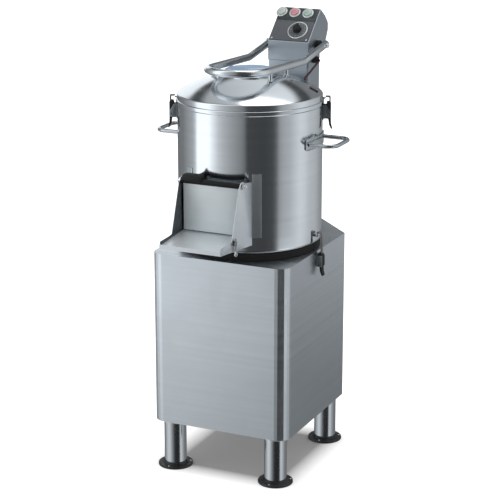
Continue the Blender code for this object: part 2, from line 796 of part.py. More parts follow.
def build_drive():
    low = PULLEY_Z - PULLEY_THICKNESS / 2
    high = PULLEY_Z + PULLEY_THICKNESS / 2
    disc_low = DISC_TOP - DISC_THICKNESS
    spindle = new_axis("spindle_axis", (0.0, 0.0, PULLEY_Z), parent=MACHINE)

    disc_profile = [
        (0.0, DISC_TOP + CAP_HEIGHT),
        (CAP_RADIUS / 2, DISC_TOP + CAP_HEIGHT),
        (CAP_RADIUS, DISC_TOP + CAP_HEIGHT / 2),
        (CAP_RADIUS, DISC_TOP),
        (DISC_RADIUS - DISC_THICKNESS, DISC_TOP),
        (DISC_RADIUS, DISC_TOP + DISC_RIM_RISE),
        (DISC_RADIUS, disc_low),
        (0.0, disc_low),
    ]
    disc = turned("abrasive_disc", disc_profile, steps=DRUM_STEPS)
    ridge_length = RIDGE_OUTER - RIDGE_INNER
    for index in range(RIDGE_COUNT):
        angle = math.tau * index / RIDGE_COUNT
        reach = (RIDGE_INNER + RIDGE_OUTER) / 2
        place = (reach * math.cos(angle), reach * math.sin(angle), DISC_TOP - RIDGE_SINK)
        ridge = rod("disc_ridge", RIDGE_RADIUS, ridge_length, place, "X")
        ridge.rotation_euler = (0.0, math.pi / 2, angle)
        trim = 2 * RIDGE_RADIUS
        under = block("ridge_trim", (2 * DISC_RADIUS, 2 * DISC_RADIUS, trim),
                      (0.0, 0.0, disc_low + GAP - trim / 2))
        cut(ridge, cutter(under, spindle))
        cut(disc, cutter(ridge, spindle), "UNION")
    finish_piece(disc, "abrasive_grey", spindle)

    shaft_top = disc_low - GAP
    shaft_length = shaft_top - SHAFT_BOTTOM
    shaft = rod("drive_shaft", SHAFT_RADIUS, shaft_length, (0.0, 0.0, SHAFT_BOTTOM + shaft_length / 2),
                steps=ROUND_STEPS)
    finish_piece(shaft, "bright_steel", spindle)

    bore = SHAFT_RADIUS + GAP
    pulley_profile = groove_profile(MAIN_PULLEY_RADIUS, bore, low, high)
    pulley_profile[1:1] = [
        (MAIN_PULLEY_HUB, high + MAIN_PULLEY_HUB_HEIGHT),
        (MAIN_PULLEY_HUB, high),
    ]
    pulley_profile[0] = (bore, high + MAIN_PULLEY_HUB_HEIGHT)
    pulley = turned("main_pulley", pulley_profile, closed=True, steps=ROUND_STEPS)
    finish_piece(pulley, "grey_metal", spindle)

    running = SHAFT_RADIUS + RUNNING_GAP
    flange_low = CABINET_TOP + GAP
    flange_high = flange_low + BEARING_FLANGE_THICKNESS
    housing_profile = [
        (running, BEARING_TOP),
        (BEARING_RADIUS, BEARING_TOP),
        (BEARING_RADIUS, flange_high),
        (BEARING_FLANGE_RADIUS, flange_high),
        (BEARING_FLANGE_RADIUS, flange_low),
        (BEARING_RADIUS, flange_low),
        (BEARING_RADIUS, BEARING_BOTTOM),
        (running, BEARING_BOTTOM),
    ]
    housing = turned("bearing_housing", housing_profile, closed=True)
    finish_piece(housing, "grey_metal")


def build_motor():
    centre = (MOTOR_X, MOTOR_Y, 0.0)
    body_profile = [
        (0.0, MOTOR_TOP + MOTOR_NECK_HEIGHT),
        (MOTOR_NECK_RADIUS, MOTOR_TOP + MOTOR_NECK_HEIGHT),
        (MOTOR_NECK_RADIUS, MOTOR_TOP),
        (MOTOR_RADIUS - MOTOR_NECK_HEIGHT, MOTOR_TOP),
        (MOTOR_RADIUS, MOTOR_TOP - MOTOR_NECK_HEIGHT),
        (MOTOR_RADIUS, MOTOR_BOTTOM - MOUNT_WALL / 2),
        (0.0, MOTOR_BOTTOM - MOUNT_WALL / 2),
    ]
    body = turned("motor_body", body_profile, centre=centre)
    slots = []
    for index in range(MOTOR_FIN_COUNT):
        angle = math.tau * index / MOTOR_FIN_COUNT
        place = (MOTOR_X + MOTOR_RADIUS * math.cos(angle), MOTOR_Y + MOTOR_RADIUS * math.sin(angle),
                 (MOTOR_TOP + MOTOR_BOTTOM) / 2)
        size = (2 * MOTOR_FIN_DEPTH, MOTOR_FIN_WIDTH, (MOTOR_TOP - MOTOR_BOTTOM) / 2)
        slots.append(block("fin_slot", size, place, (0.0, 0.0, angle)))
    cut(body, cutter(gathered("fin_slots", slots)))

    mount_low = CABINET_BOTTOM + DECK_THICKNESS + GAP
    wall = MOUNT_HALF_WIDTH - MOUNT_WALL
    mount_outline = [
        (-MOUNT_HALF_WIDTH, mount_low),
        (-wall, mount_low),
        (-wall, MOTOR_BOTTOM - MOUNT_WALL),
        (wall, MOTOR_BOTTOM - MOUNT_WALL),
        (wall, mount_low),
        (MOUNT_HALF_WIDTH, mount_low),
        (MOUNT_HALF_WIDTH, MOTOR_BOTTOM),
        (-MOUNT_HALF_WIDTH, MOTOR_BOTTOM),
    ]
    mount = flat_plate("motor_mount", mount_outline, 2 * MOUNT_HALF_WIDTH, centre, "XZ")
    cut(body, cutter(mount), "UNION")
    finish_piece(body, "motor_paint")

    low = PULLEY_Z - PULLEY_THICKNESS / 2
    high = PULLEY_Z + PULLEY_THICKNESS / 2
    neck_top = MOTOR_TOP + MOTOR_NECK_HEIGHT + GAP
    rotor = new_axis("motor_axis", (MOTOR_X, MOTOR_Y, PULLEY_Z), parent=MACHINE)
    pulley_profile = groove_profile(MOTOR_PULLEY_RADIUS, 0.0, low, high)
    pulley_profile[-1:] = [
        (MOTOR_SHAFT_RADIUS, low),
        (MOTOR_SHAFT_RADIUS, neck_top),
        (0.0, neck_top),
    ]
    pulley = turned("motor_pulley", pulley_profile, centre=centre)
    finish_piece(pulley, "grey_metal", rotor)
    finish_piece(build_belt(), "black_rubber")


def build_belt():
    """The drive belt, along the two outer tangents and around both pulleys."""
    run = math.hypot(MOTOR_X, MOTOR_Y)
    heading = math.atan2(MOTOR_Y, MOTOR_X)
    large = MAIN_PULLEY_RADIUS - GROOVE_DEPTH + BELT_RADIUS + BELT_GAP
    small = MOTOR_PULLEY_RADIUS - GROOVE_DEPTH + BELT_RADIUS + BELT_GAP
    lean = math.acos((large - small) / run)
    path = []
    for step in range(ARC_STEPS + 1):
        angle = heading + lean + (math.tau - 2 * lean) * step / ARC_STEPS
        path.append((large * math.cos(angle), large * math.sin(angle), PULLEY_Z))
    for step in range(ARC_STEPS // 2 + 1):
        angle = heading - lean + 2 * lean * step / (ARC_STEPS // 2)
        path.append((MOTOR_X + small * math.cos(angle), MOTOR_Y + small * math.sin(angle), PULLEY_Z))
    return as_mesh(bent_tube("drive_belt", path, BELT_RADIUS, 1, closed=True))


def build_water_lines():
    top = DRUM_BOTTOM + DRUM_WALL
    corners = [(0.0, DRAIN_Y, top), (0.0, DRAIN_Y, DRAIN_Z), (0.0, DRAIN_REACH, DRAIN_Z)]
    pipe = as_mesh(bent_tube("drain_pipe", rounded(corners, DRAIN_BEND, 4), DRAIN_RADIUS, 4))
    corners[0] = (0.0, DRAIN_Y, top + OVERRUN)
    corners[2] = (0.0, DRAIN_REACH + OVERRUN, DRAIN_Z)
    bore = as_mesh(bent_tube("drain_bore", rounded(corners, DRAIN_BEND, 4), DRAIN_BORE, 4))
    cut(pipe, cutter(bore))
    finish_piece(smooth(pipe), "brushed_steel")

    drum_end = DRUM_RADIUS + GAP
    column_end = COLUMN_FRONT - GAP
    inlet_profile = [
        (0.0, column_end),
        (INLET_NUT_RADIUS, column_end),
        (INLET_NUT_RADIUS, column_end - INLET_NUT_LENGTH),
        (INLET_RADIUS, column_end - INLET_NUT_LENGTH),
        (INLET_RADIUS, drum_end + INLET_NUT_LENGTH),
        (INLET_NUT_RADIUS, drum_end + INLET_NUT_LENGTH),
        (INLET_NUT_RADIUS, drum_end),
        (0.0, drum_end),
    ]
    inlet = turned("water_inlet", inlet_profile, steps=SMALL_STEPS, centre=(0.0, 0.0, INLET_Z))
    inlet.rotation_euler = (-math.pi / 2, 0.0, 0.0)
    finish_piece(inlet, "bright_steel")

    seat = BACK_FACE + GAP
    gland_profile = [
        (0.0, seat + GLAND_LENGTH),
        (GLAND_STEM, seat + GLAND_LENGTH),
        (GLAND_RADIUS, seat + GLAND_NUT_LENGTH),
        (GLAND_RADIUS, seat),
        (0.0, seat),
    ]
    gland = turned("mains_gland", gland_profile, steps=SMALL_STEPS, centre=(GLAND_X, 0.0, GLAND_Z))
    gland.rotation_euler = (-math.pi / 2, 0.0, 0.0)
    finish_piece(gland, "black_plastic")


def drum_skin_cutter(name):
    """A round core as large as the drum with its clearance, which shapes what meets the wall."""
    height = DRUM_TOP - DRUM_BOTTOM
    return cutter(rod(name, DRUM_RADIUS + GAP, height, (0.0, 0.0, DRUM_BOTTOM + height / 2), "Z",
                      DRUM_STEPS))


def build_chute():
    sheet = CHUTE_SHEET
    cheek_back = math.sqrt((DRUM_RADIUS + GAP) ** 2 - CHUTE_INNER_HALF ** 2) + GAP
    lip_back = CHUTE_REACH - sheet
    cheek_front = lip_back - GAP
    ear = arc(-DOOR_Y, DOOR_ROD_Z, DOOR_EAR_RADIUS, 30, 165, 6)
    cheek_outline = [
        (-cheek_back, CHUTE_TOP),
        (-cheek_back, CHUTE_BACK_BOTTOM),
        (-cheek_front, CHUTE_FRONT_BOTTOM),
        (-cheek_front, CHUTE_NOSE_TOP - sheet),
        (-CHUTE_CHEEK_FOOT_Y - DOOR_EAR_RADIUS, CHUTE_NOSE_TOP),
        (-CHUTE_CHEEK_FOOT_Y, CHUTE_NOSE_TOP + sheet),
        (-CHUTE_CHEEK_TOP_Y, CHUTE_TOP),
        *reversed(ear),
    ]
    for side, name in ((-1, "chute_side_left"), (1, "chute_side_right")):
        centre = (side * (CHUTE_INNER_HALF + sheet / 2), 0.0, 0.0)
        cheek = flat_plate(name, cheek_outline, sheet, centre, "YZ")
        hole = rod("rod_hole", DOOR_ROD_RADIUS + GAP, OVERRUN,
                   (centre[0], -DOOR_Y, DOOR_ROD_Z), "X")
        cut(cheek, cutter(hole))
        if side > 0:
            eye_x = CHUTE_INNER_HALF + sheet + CATCH_EYE_RADIUS - CATCH_EYE_SINK
            eye = rod("catch_eye", CATCH_EYE_RADIUS, CATCH_EYE_HEIGHT, (eye_x, -CATCH_Y, CATCH_EYE_Z))
            cut(cheek, cutter(eye), "UNION")
            bore = rod("catch_bore", CATCH_RADIUS + GAP, CATCH_EYE_HEIGHT + OVERRUN,
                       (eye_x, -CATCH_Y, CATCH_EYE_Z))
            cut(cheek, cutter(bore))
            build_catch(eye_x)
        finish_piece(cheek, "brushed_steel")

    floor_half = CHUTE_INNER_HALF - GAP
    front_z = TRAY_FLOOR_Z - TRAY_SLOPE * (lip_back - DOOR_Y)
    back_z = TRAY_FLOOR_Z + TRAY_SLOPE * DOOR_Y
    tray_outline = [
        (0.0, back_z),
        (0.0, back_z - sheet),
        (-lip_back + GAP, front_z - sheet),
        (-lip_back + GAP, front_z),
    ]
    tray = flat_plate("chute_tray", tray_outline, 2 * floor_half, (0.0, 0.0, 0.0), "YZ")
    cut(tray, drum_skin_cutter("tray_scribe"))
    lip_half = CHUTE_INNER_HALF + sheet
    lip = block("tray_lip", (2 * lip_half, sheet, LIP_HEIGHT),
                (0.0, -CHUTE_REACH + sheet / 2, LIP_TOP - LIP_HEIGHT / 2))
    cut(tray, cutter(lip), "UNION")
    bridge = block("tray_fold", (2 * floor_half, 2 * sheet, sheet),
                   (0.0, -lip_back, front_z - sheet))
    cut(tray, cutter(bridge), "UNION")
    finish_piece(tray, "brushed_steel")

    build_door()


def build_catch(x):
    axis = new_axis("catch_axis", (x, -CATCH_Y, CATCH_EYE_Z), parent=MACHINE)
    low = CATCH_BALL_Z
    pin = rod("door_catch", CATCH_RADIUS, CATCH_TOP - low, (x, -CATCH_Y, (CATCH_TOP + low) / 2))
    knob = ball("catch_ball", CATCH_BALL_RADIUS, (x, -CATCH_Y, CATCH_BALL_Z))
    cut(pin, cutter(knob, axis), "UNION")
    collar_z = CATCH_EYE_Z + (CATCH_EYE_HEIGHT + CATCH_COLLAR_HEIGHT) / 2 + GAP
    collar = rod("catch_collar", CATCH_COLLAR_RADIUS, CATCH_COLLAR_HEIGHT, (x, -CATCH_Y, collar_z))
    cut(pin, cutter(collar, axis), "UNION")
    finish_piece(pin, "bright_steel", axis)


def build_door():
    axis = new_axis("door_axis", (0.0, -DOOR_Y, DOOR_ROD_Z), parent=MACHINE)
    width = 2 * DOOR_HALF_WIDTH
    half = DOOR_THICKNESS / 2
    pan_outline = [
        (-DOOR_Y - half, DOOR_BOTTOM),
        (-DOOR_Y + half + DOOR_RETURN, DOOR_BOTTOM + DOOR_THICKNESS),
        (-DOOR_Y + half + DOOR_RETURN, MOUTH_TOP),
        (-DOOR_Y + half, MOUTH_TOP + DOOR_RETURN),
        (-DOOR_Y + half, DOOR_ROD_Z),
        (-DOOR_Y - half, DOOR_ROD_Z),
    ]
    door = flat_plate("chute_door", pan_outline, width, (0.0, 0.0, 0.0), "YZ")
    pocket_size = (width - 2 * DOOR_THICKNESS, DOOR_RETURN + OVERRUN,
                   MOUTH_TOP - DOOR_BOTTOM - 3 * DOOR_THICKNESS)
    pocket_place = (0.0, -DOOR_Y + half + (DOOR_RETURN + OVERRUN) / 2,
                    (MOUTH_TOP + DOOR_BOTTOM) / 2 + half)
    cut(door, cutter(block("door_pocket", pocket_size, pocket_place), axis))
    knuckle = rod("door_knuckle", DOOR_KNUCKLE_RADIUS, width, (0.0, -DOOR_Y, DOOR_ROD_Z), "X",
                  ROUND_STEPS)
    cut(door, cutter(knuckle, axis), "UNION")
    bore = rod("knuckle_bore", DOOR_ROD_RADIUS + GAP, width + OVERRUN,
               (0.0, -DOOR_Y, DOOR_ROD_Z), "X")
    cut(door, cutter(bore, axis))
    finish_piece(door, "brushed_steel", axis)

    end = CHUTE_INNER_HALF + CHUTE_SHEET + DOOR_ROD_OVERHANG
    nut_low = CHUTE_INNER_HALF + CHUTE_SHEET + GAP
    rod_profile = [
        (0.0, end),
        (DOOR_ROD_RADIUS, end),
        (DOOR_ROD_RADIUS, nut_low + DOOR_NUT_LENGTH),
        (DOOR_NUT_RADIUS, nut_low + DOOR_NUT_LENGTH),
        (DOOR_NUT_RADIUS, nut_low),
        (DOOR_ROD_RADIUS, nut_low),
    ]
    mirrored = [(radius, -along) for radius, along in reversed(rod_profile)]
    hinge_rod = turned("door_rod", rod_profile + mirrored, steps=SMALL_STEPS,
                       centre=(0.0, -DOOR_Y, DOOR_ROD_Z), along="X")
    finish_piece(hinge_rod, "bright_steel")

    handle_low = DOOR_ROD_Z + GAP
    handle_high = DOOR_ROD_Z + DOOR_HANDLE_RISE
    handle_x = -DOOR_HALF_WIDTH + DOOR_HANDLE_WIDTH / 2
    handle = block("door_handle",
                   (DOOR_HANDLE_WIDTH, 2 * DOOR_HANDLE_HALF_DEPTH, handle_high - handle_low),
                   (handle_x, -DOOR_Y, (handle_low + handle_high) / 2))
    round_edges(handle, DOOR_HANDLE_ROUND, 2)
    seat = rod("handle_seat", DOOR_KNUCKLE_RADIUS + GAP, DOOR_HANDLE_WIDTH + OVERRUN,
               (handle_x, -DOOR_Y, DOOR_ROD_Z), "X", ROUND_STEPS)
    cut(handle, cutter(seat, axis))
    finish_piece(handle, "black_plastic", axis)


def lid_height(radius):
    """Height of the lid's outer skin at a radius on its domed part."""
    return LID_APEX - LID_SPHERE + math.sqrt(LID_SPHERE ** 2 - radius ** 2)


def lid_edge_centre():
    """Radius and height of the centre of the lid's rounded edge, which meets the dome tangent."""
    edge_r = LID_RADIUS - LID_EDGE_ROUND
    rise = math.sqrt((LID_SPHERE - LID_EDGE_ROUND) ** 2 - edge_r ** 2)
    return edge_r, LID_APEX - LID_SPHERE + rise


def lid_underside(radius):
    """Height of the lid's inner skin at a radius on its domed part."""
    return LID_APEX - LID_SPHERE + math.sqrt((LID_SPHERE - LID_SHEET) ** 2 - radius ** 2)


def lid_skin(inset, first_radius, dome_steps, edge_steps):
    """One face of the lid from a radius on its dome down its skirt, drawn in by an inset."""
    sphere_z = LID_APEX - LID_SPHERE
    edge_r, edge_z = lid_edge_centre()
    sphere = LID_SPHERE - inset
    turn = math.degrees(math.atan2(edge_z - sphere_z, edge_r))
    start = math.degrees(math.acos(first_radius / sphere))
    dome = arc(0.0, sphere_z, sphere, start, turn, dome_steps)
    edge = arc(edge_r, edge_z, LID_EDGE_ROUND - inset, turn, 0.0, edge_steps)[1:]
    return dome + edge + [(LID_RADIUS - inset, LID_SEAT)]


def build_lid():
    axis = new_axis("lid_axis", (0.0, HINGE_Y, HINGE_Z), parent=MACHINE)
    window_low = WINDOW_TOP - WINDOW_THICKNESS
    ledge = window_low - GAP
    rim = WINDOW_RADIUS + GAP
    profile = [
        (rim, COLLAR_TOP),
        (COLLAR_RADIUS - COLLAR_CHAMFER, COLLAR_TOP),
        (COLLAR_RADIUS, COLLAR_TOP - COLLAR_CHAMFER),
        *lid_skin(0.0, COLLAR_RADIUS, 5, 2),
        *reversed(lid_skin(LID_SHEET, WINDOW_HOLE, 3, 2)),
        (WINDOW_HOLE, ledge),
        (rim, ledge),
    ]
    dome = turned("lid_dome", profile, closed=True, steps=DRUM_STEPS)
    finish_piece(dome, "polished_steel", axis)

    gasket_profile = [
        (GASKET_INNER, lid_underside(GASKET_INNER) - 2 * GAP),
        (GASKET_RADIUS, lid_underside(GASKET_RADIUS) - 2 * GAP),
        (GASKET_RADIUS, GASKET_BOTTOM),
        (GASKET_INNER, GASKET_BOTTOM),
    ]
    gasket = turned("lid_gasket", gasket_profile, closed=True, steps=DRUM_STEPS)
    finish_piece(gasket, "black_rubber", axis)

    window_profile = [
        (0.0, WINDOW_TOP),
        (WINDOW_RADIUS - LID_SHEET, WINDOW_TOP),
        (WINDOW_RADIUS, WINDOW_TOP - LID_SHEET),
        (WINDOW_RADIUS, window_low),
        (0.0, window_low),
    ]
    window = turned("lid_window", window_profile, steps=DRUM_STEPS)
    finish_piece(window, "window_blue", axis)
    build_lid_arm(axis)


def arm_height(y):
    return ARM_AXIS_Z - ARM_SLOPE * y


def build_lid_arm(axis):
    end_y = HINGE_Y + ARM_END_OVERHANG
    bend_z = arm_height(ARM_BEND_Y)
    rise = (HINGE_Z - bend_z) / (HINGE_Y - ARM_BEND_Y)
    end_z = HINGE_Z + rise * ARM_END_OVERHANG
    branch = rounded([
        (-ARM_HALF_SPAN, -ARM_ARC_Y, arm_height(-ARM_ARC_Y)),
        (-ARM_HALF_SPAN, ARM_BEND_Y, bend_z),
        (-ARM_HALF_SPAN, end_y, end_z),
    ], ARM_BEND_RADIUS, 3)
    front = []
    for step in range(1, ARC_STEPS):
        angle = math.pi + math.pi * step / ARC_STEPS
        y = -ARM_ARC_Y + ARM_HALF_SPAN * math.sin(angle)
        front.append(Vector((ARM_HALF_SPAN * math.cos(angle), y, arm_height(y))))
    other = [Vector((-point.x, point.y, point.z)) for point in branch]
    path = list(reversed(branch)) + front + other
    arm = as_mesh(bent_tube("lid_arm", path, ARM_TUBE_RADIUS, 3))
    cross = rod("pivot_hole", PIVOT_RADIUS + GAP, 2 * (ARM_HALF_SPAN + ARM_TUBE_RADIUS) + OVERRUN,
                (0.0, HINGE_Y, HINGE_Z), "X", SMALL_STEPS)
    cut(arm, cutter(cross, axis))
    for y in (-STUD_FRONT_Y, STUD_REAR_Y):
        low = lid_height(math.hypot(ARM_HALF_SPAN - STUD_RADIUS, abs(y) - STUD_RADIUS)) + GAP
        high = arm_height(y)
        for side in (-1, 1):
            stud = rod("stud", STUD_RADIUS, high - low, (side * ARM_HALF_SPAN, y, (low + high) / 2))
            cut(arm, cutter(stud, axis), "UNION")
    finish_piece(smooth(arm), "polished_steel", axis)
    finish_piece(build_axle(), "bright_steel")


def build_axle():
    """The hinge axle, which runs through the control box and both ends of the arm."""
    shank_end = ARM_HALF_SPAN + ARM_TUBE_RADIUS + GAP
    half_profile = [
        (0.0, shank_end + PIVOT_HEAD_LENGTH),
        (PIVOT_HEAD_RADIUS, shank_end + PIVOT_HEAD_LENGTH),
        (PIVOT_HEAD_RADIUS, shank_end),
        (PIVOT_RADIUS, shank_end),
    ]
    mirrored = [(radius, -along) for radius, along in reversed(half_profile)]
    return turned("lid_pivot", half_profile + mirrored, steps=SMALL_STEPS,
                  centre=(0.0, HINGE_Y, HINGE_Z), along="X")


def build_column():
    half = COLUMN_HALF_WIDTH
    plan = [(-half, COLUMN_FRONT), (half, COLUMN_FRONT), (half, CABINET_REAR), (-half, CABINET_REAR)]
    low = CABINET_TOP + GAP
    high = BOX_BOTTOM - GAP
    post = flat_plate("column_post", rounded(plan, COLUMN_CORNER, 3, closed=True), high - low,
                      (0.0, 0.0, (low + high) / 2))
    finish_piece(smooth(post), "brushed_steel")

    rear_corner = rounded([
        (PANEL_TOP_Y, PANEL_TOP_Z),
        (BOX_SHOULDER_Y, BOX_SHOULDER_Z),
        (BOX_REAR, BOX_REAR_HIGH_Z),
        (BOX_REAR, BOX_REAR_LOW_Z),
        (BOX_HEEL_Y, BOX_HEEL_Z),
        (CABINET_REAR, BOX_BOTTOM + BOX_ROUND),
    ], BOX_ROUND, 3)
    side_outline = [
        (BOX_FRONT, BOX_BOTTOM),
        (BOX_FRONT, PANEL_FOOT_Z),
        *rear_corner,
        (CABINET_REAR, BOX_BOTTOM),
    ]
    box = flat_plate("control_box", side_outline, 2 * half, (0.0, 0.0, 0.0), "YZ")
    round_edges(box, BOX_EDGE, 2)
    cut(box, cutter(rod("axle_bore", PIVOT_RADIUS + GAP, 2 * half + OVERRUN,
                        (0.0, HINGE_Y, HINGE_Z), "X")))
    finish_piece(smooth(box), "brushed_steel")


def build_controls():
    tilt = (PANEL_TILT, 0.0, 0.0)
    face = new_axis("panel_plane", (0.0, BOX_FRONT, PANEL_FOOT_Z), tilt, MACHINE)
    face_top = GAP + PANEL_THICKNESS
    panel_size = (2 * (COLUMN_HALF_WIDTH - PANEL_MARGIN), PANEL_LENGTH - 2 * PANEL_MARGIN,
                  PANEL_THICKNESS)
    panel = block("control_panel", panel_size, (0.0, PANEL_LENGTH / 2, GAP + PANEL_THICKNESS / 2))
    finish_piece(panel, "panel_grey", face, in_axis_frame=True)

    seat = face_top + GAP
    ring_high = seat + DIAL_RING_HEIGHT
    ring_bore = DIAL_RING_RADIUS - DIAL_RING_WALL
    ring_profile = [
        (ring_bore, ring_high),
        (DIAL_RING_RADIUS - BEZEL_CHAMFER, ring_high),
        (DIAL_RING_RADIUS, ring_high - BEZEL_CHAMFER),
        (DIAL_RING_RADIUS, seat),
        (ring_bore, seat),
    ]
    ring = turned("timer_ring", ring_profile, True, ROUND_STEPS, (TIMER_X, TIMER_ROW, 0.0))
    finish_piece(ring, "bright_steel", face, in_axis_frame=True)
    build_buttons(face, seat)

    skirt = ring_bore - RUNNING_GAP
    skirt_high = seat + KNOB_SKIRT_HEIGHT
    grip_high = skirt_high + KNOB_GRIP_HEIGHT
    knob_profile = [
        (0.0, grip_high),
        (KNOB_GRIP_RADIUS - BEZEL_CHAMFER, grip_high),
        (KNOB_GRIP_RADIUS, grip_high - BEZEL_CHAMFER),
        (KNOB_GRIP_RADIUS, skirt_high),
        (skirt - BEZEL_CHAMFER, skirt_high),
        (skirt, skirt_high - BEZEL_CHAMFER),
        (skirt, seat),
        (0.0, seat),
    ]
    knob = turned("timer_knob", knob_profile, centre=(TIMER_X, TIMER_ROW, 0.0))
    bar_height = KNOB_BAR_RISE + KNOB_GRIP_HEIGHT / 2
    bar = block("knob_bar", (KNOB_BAR_WIDTH, 2 * KNOB_GRIP_RADIUS + KNOB_BAR_WIDTH, bar_height),
                (TIMER_X, TIMER_ROW, grip_high + KNOB_BAR_RISE - bar_height / 2))
    cut(knob, cutter(bar, face, in_axis_frame=True), "UNION")
    finish_piece(knob, "black_plastic", face, in_axis_frame=True)


def build_buttons(face, seat):
    """The strip with its three collars, and the push-buttons in them."""
    strip_top = seat + STRIP_THICKNESS
    strip = block("button_strip", (2 * (COLUMN_HALF_WIDTH - PANEL_MARGIN), STRIP_HEIGHT, STRIP_THICKNESS),
                  (0.0, BUTTON_ROW, (seat + strip_top) / 2))
    collar_high = seat + BEZEL_HEIGHT
    bore = BUTTON_RADIUS + GAP
    collar_profile = [
        (0.0, collar_high),
        (BEZEL_RADIUS - BEZEL_CHAMFER, collar_high),
        (BEZEL_RADIUS, collar_high - BEZEL_CHAMFER),
        (BEZEL_RADIUS, strip_top - STRIP_THICKNESS / 2),
        (0.0, strip_top - STRIP_THICKNESS / 2),
    ]
    button_low = seat + BUTTON_TRAVEL + RUNNING_GAP - GAP
    button_high = collar_high + BUTTON_HEIGHT
    button_profile = [
        (0.0, button_high),
        (BUTTON_RADIUS - BEZEL_CHAMFER, button_high),
        (BUTTON_RADIUS, button_high - BEZEL_CHAMFER),
        (BUTTON_RADIUS, button_low),
        (0.0, button_low),
    ]
    buttons = (("button_start", "clear_plastic"), ("button_stop", "red_plastic"),
               ("button_light", "green_plastic"))
    bores = []
    for index, (name, finish) in enumerate(buttons):
        place = (BUTTON_FIRST_X + index * BUTTON_PITCH, BUTTON_ROW, 0.0)
        collar = turned("collar", collar_profile, steps=BUTTON_STEPS, centre=place)
        cut(strip, cutter(collar, face, in_axis_frame=True), "UNION")
        bores.append(rod("button_bore", bore, OVERRUN + collar_high, (place[0], place[1], seat),
                         steps=BUTTON_STEPS))
        button = turned(name, button_profile, steps=BUTTON_STEPS, centre=place)
        finish_piece(button, finish, face, in_axis_frame=True)
    cut(strip, cutter(gathered("button_bores", bores), face, in_axis_frame=True))
    finish_piece(strip, "bright_steel", face, in_axis_frame=True)


def latch_outline(hook_reach, rise, tail):
    """Side view of a hooked lever around its pin, x outward and y up."""
    half = LATCH_THICKNESS / 2
    return [
        (half, rise + LATCH_NOSE_HEIGHT),
        (-hook_reach, rise + LATCH_NOSE_HEIGHT),
        (-hook_reach, rise),
        (-half, rise),
        (-half, -tail / 2),
        (-half + LATCH_TAIL_FLARE, -tail),
        (half + LATCH_TAIL_FLARE, -tail),
        (half, -tail / 2),
    ]


def build_latch(name, angle, radius, stand, height, hook_reach, rise, tail):
    """A swing lever on its axis, with the bracket and pin that carry it."""
    pivot = radius + stand
    place = (pivot * math.cos(angle), pivot * math.sin(angle), height)
    axis = new_axis(name + "_axis", place, (0.0, 0.0, angle), MACHINE)
    lever = flat_plate(name, latch_outline(hook_reach, rise, tail), LATCH_WIDTH, (0.0, 0.0, 0.0), "XZ")
    hole = rod("pin_hole", LATCH_PIN_RADIUS + GAP, LATCH_WIDTH + OVERRUN, (0.0, 0.0, 0.0), "Y")
    cut(lever, cutter(hole, axis, in_axis_frame=True))
    finish_piece(lever, "black_plastic", axis, in_axis_frame=True)

    inner = LATCH_WIDTH / 2 + RUNNING_GAP
    outer = inner + LATCH_EAR
    back = -stand + GAP
    front = LATCH_THICKNESS
    channel = [
        (back, -outer), (front, -outer), (front, -inner), (back + LATCH_EAR, -inner),
        (back + LATCH_EAR, inner), (front, inner), (front, outer), (back, outer),
    ]
    bracket = flat_plate(name + "_bracket", channel, LATCH_BRACKET_HEIGHT)
    pin = rod("pin", LATCH_PIN_RADIUS, 2 * outer + LATCH_EAR, (0.0, 0.0, 0.0), "Y")
    cut(bracket, cutter(pin, axis, in_axis_frame=True), "UNION")
    finish_piece(bracket, "bright_steel", axis, in_axis_frame=True)


def build_latches():
    hook_reach = LID_LATCH_STAND - LID_LATCH_HOOK_GAP
    for name, angle in (("lid_latch_right", LID_LATCH_ANGLE), ("lid_latch_left", LID_LATCH_ANGLE + math.pi)):
        build_latch(name, angle, DRUM_RADIUS, LID_LATCH_STAND, LID_LATCH_Z, hook_reach,
                    LID_LATCH_RISE, LID_LATCH_TAIL)
    keeper_out = DRUM_RADIUS + GAP + KEEPER_DEPTH
    clamp_reach = CABINET_HALF_WIDTH + CLAMP_STAND - keeper_out + CLAMP_NOSE_OVER_KEEPER
    for name, angle in (("base_clamp_right", 0.0), ("base_clamp_left", math.pi)):
        build_latch(name, angle, CABINET_HALF_WIDTH, CLAMP_STAND, CLAMP_Z, clamp_reach,
                    CLAMP_RISE, CLAMP_TAIL)


def build_handles():
    """Bent rods, each welded with both ends to a curved pad on the drum."""
    inner = DRUM_RADIUS + GAP
    outer = inner + HANDLE_PAD_THICKNESS
    middle = inner + HANDLE_PAD_THICKNESS / 2
    lean = math.degrees(math.asin(HANDLE_CENTRE_Y / inner))
    swing = math.degrees(HANDLE_PAD_WIDTH / inner) / 2
    for name, side in (("handle_right", 1), ("handle_left", -1)):
        near = HANDLE_CENTRE_Y - HANDLE_SPAN / 2
        far = HANDLE_CENTRE_Y + HANDLE_SPAN / 2
        near_root = side * math.sqrt(middle ** 2 - near ** 2)
        far_root = side * math.sqrt(middle ** 2 - far ** 2)
        reach = side * HANDLE_REACH
        corners = [(near_root, near, 0.0), (reach, near, 0.0), (reach, far, 0.0), (far_root, far, 0.0)]
        rail = bent_tube(name, rounded(corners, HANDLE_BEND, 4), HANDLE_ROD_RADIUS, 3)
        rail.location.z = HANDLE_Z
        rail = as_mesh(rail)
        face = arc(0.0, 0.0, outer, lean - swing, lean + swing, 8)
        back = arc(0.0, 0.0, inner, lean + swing, lean - swing, 8)
        outline = [(side * x, y) for x, y in face + back]
        pad = flat_plate("pad", outline, HANDLE_PAD_HEIGHT, (0.0, 0.0, HANDLE_Z))
        cut(rail, cutter(pad), "UNION")
        finish_piece(smooth(rail), "bright_steel")


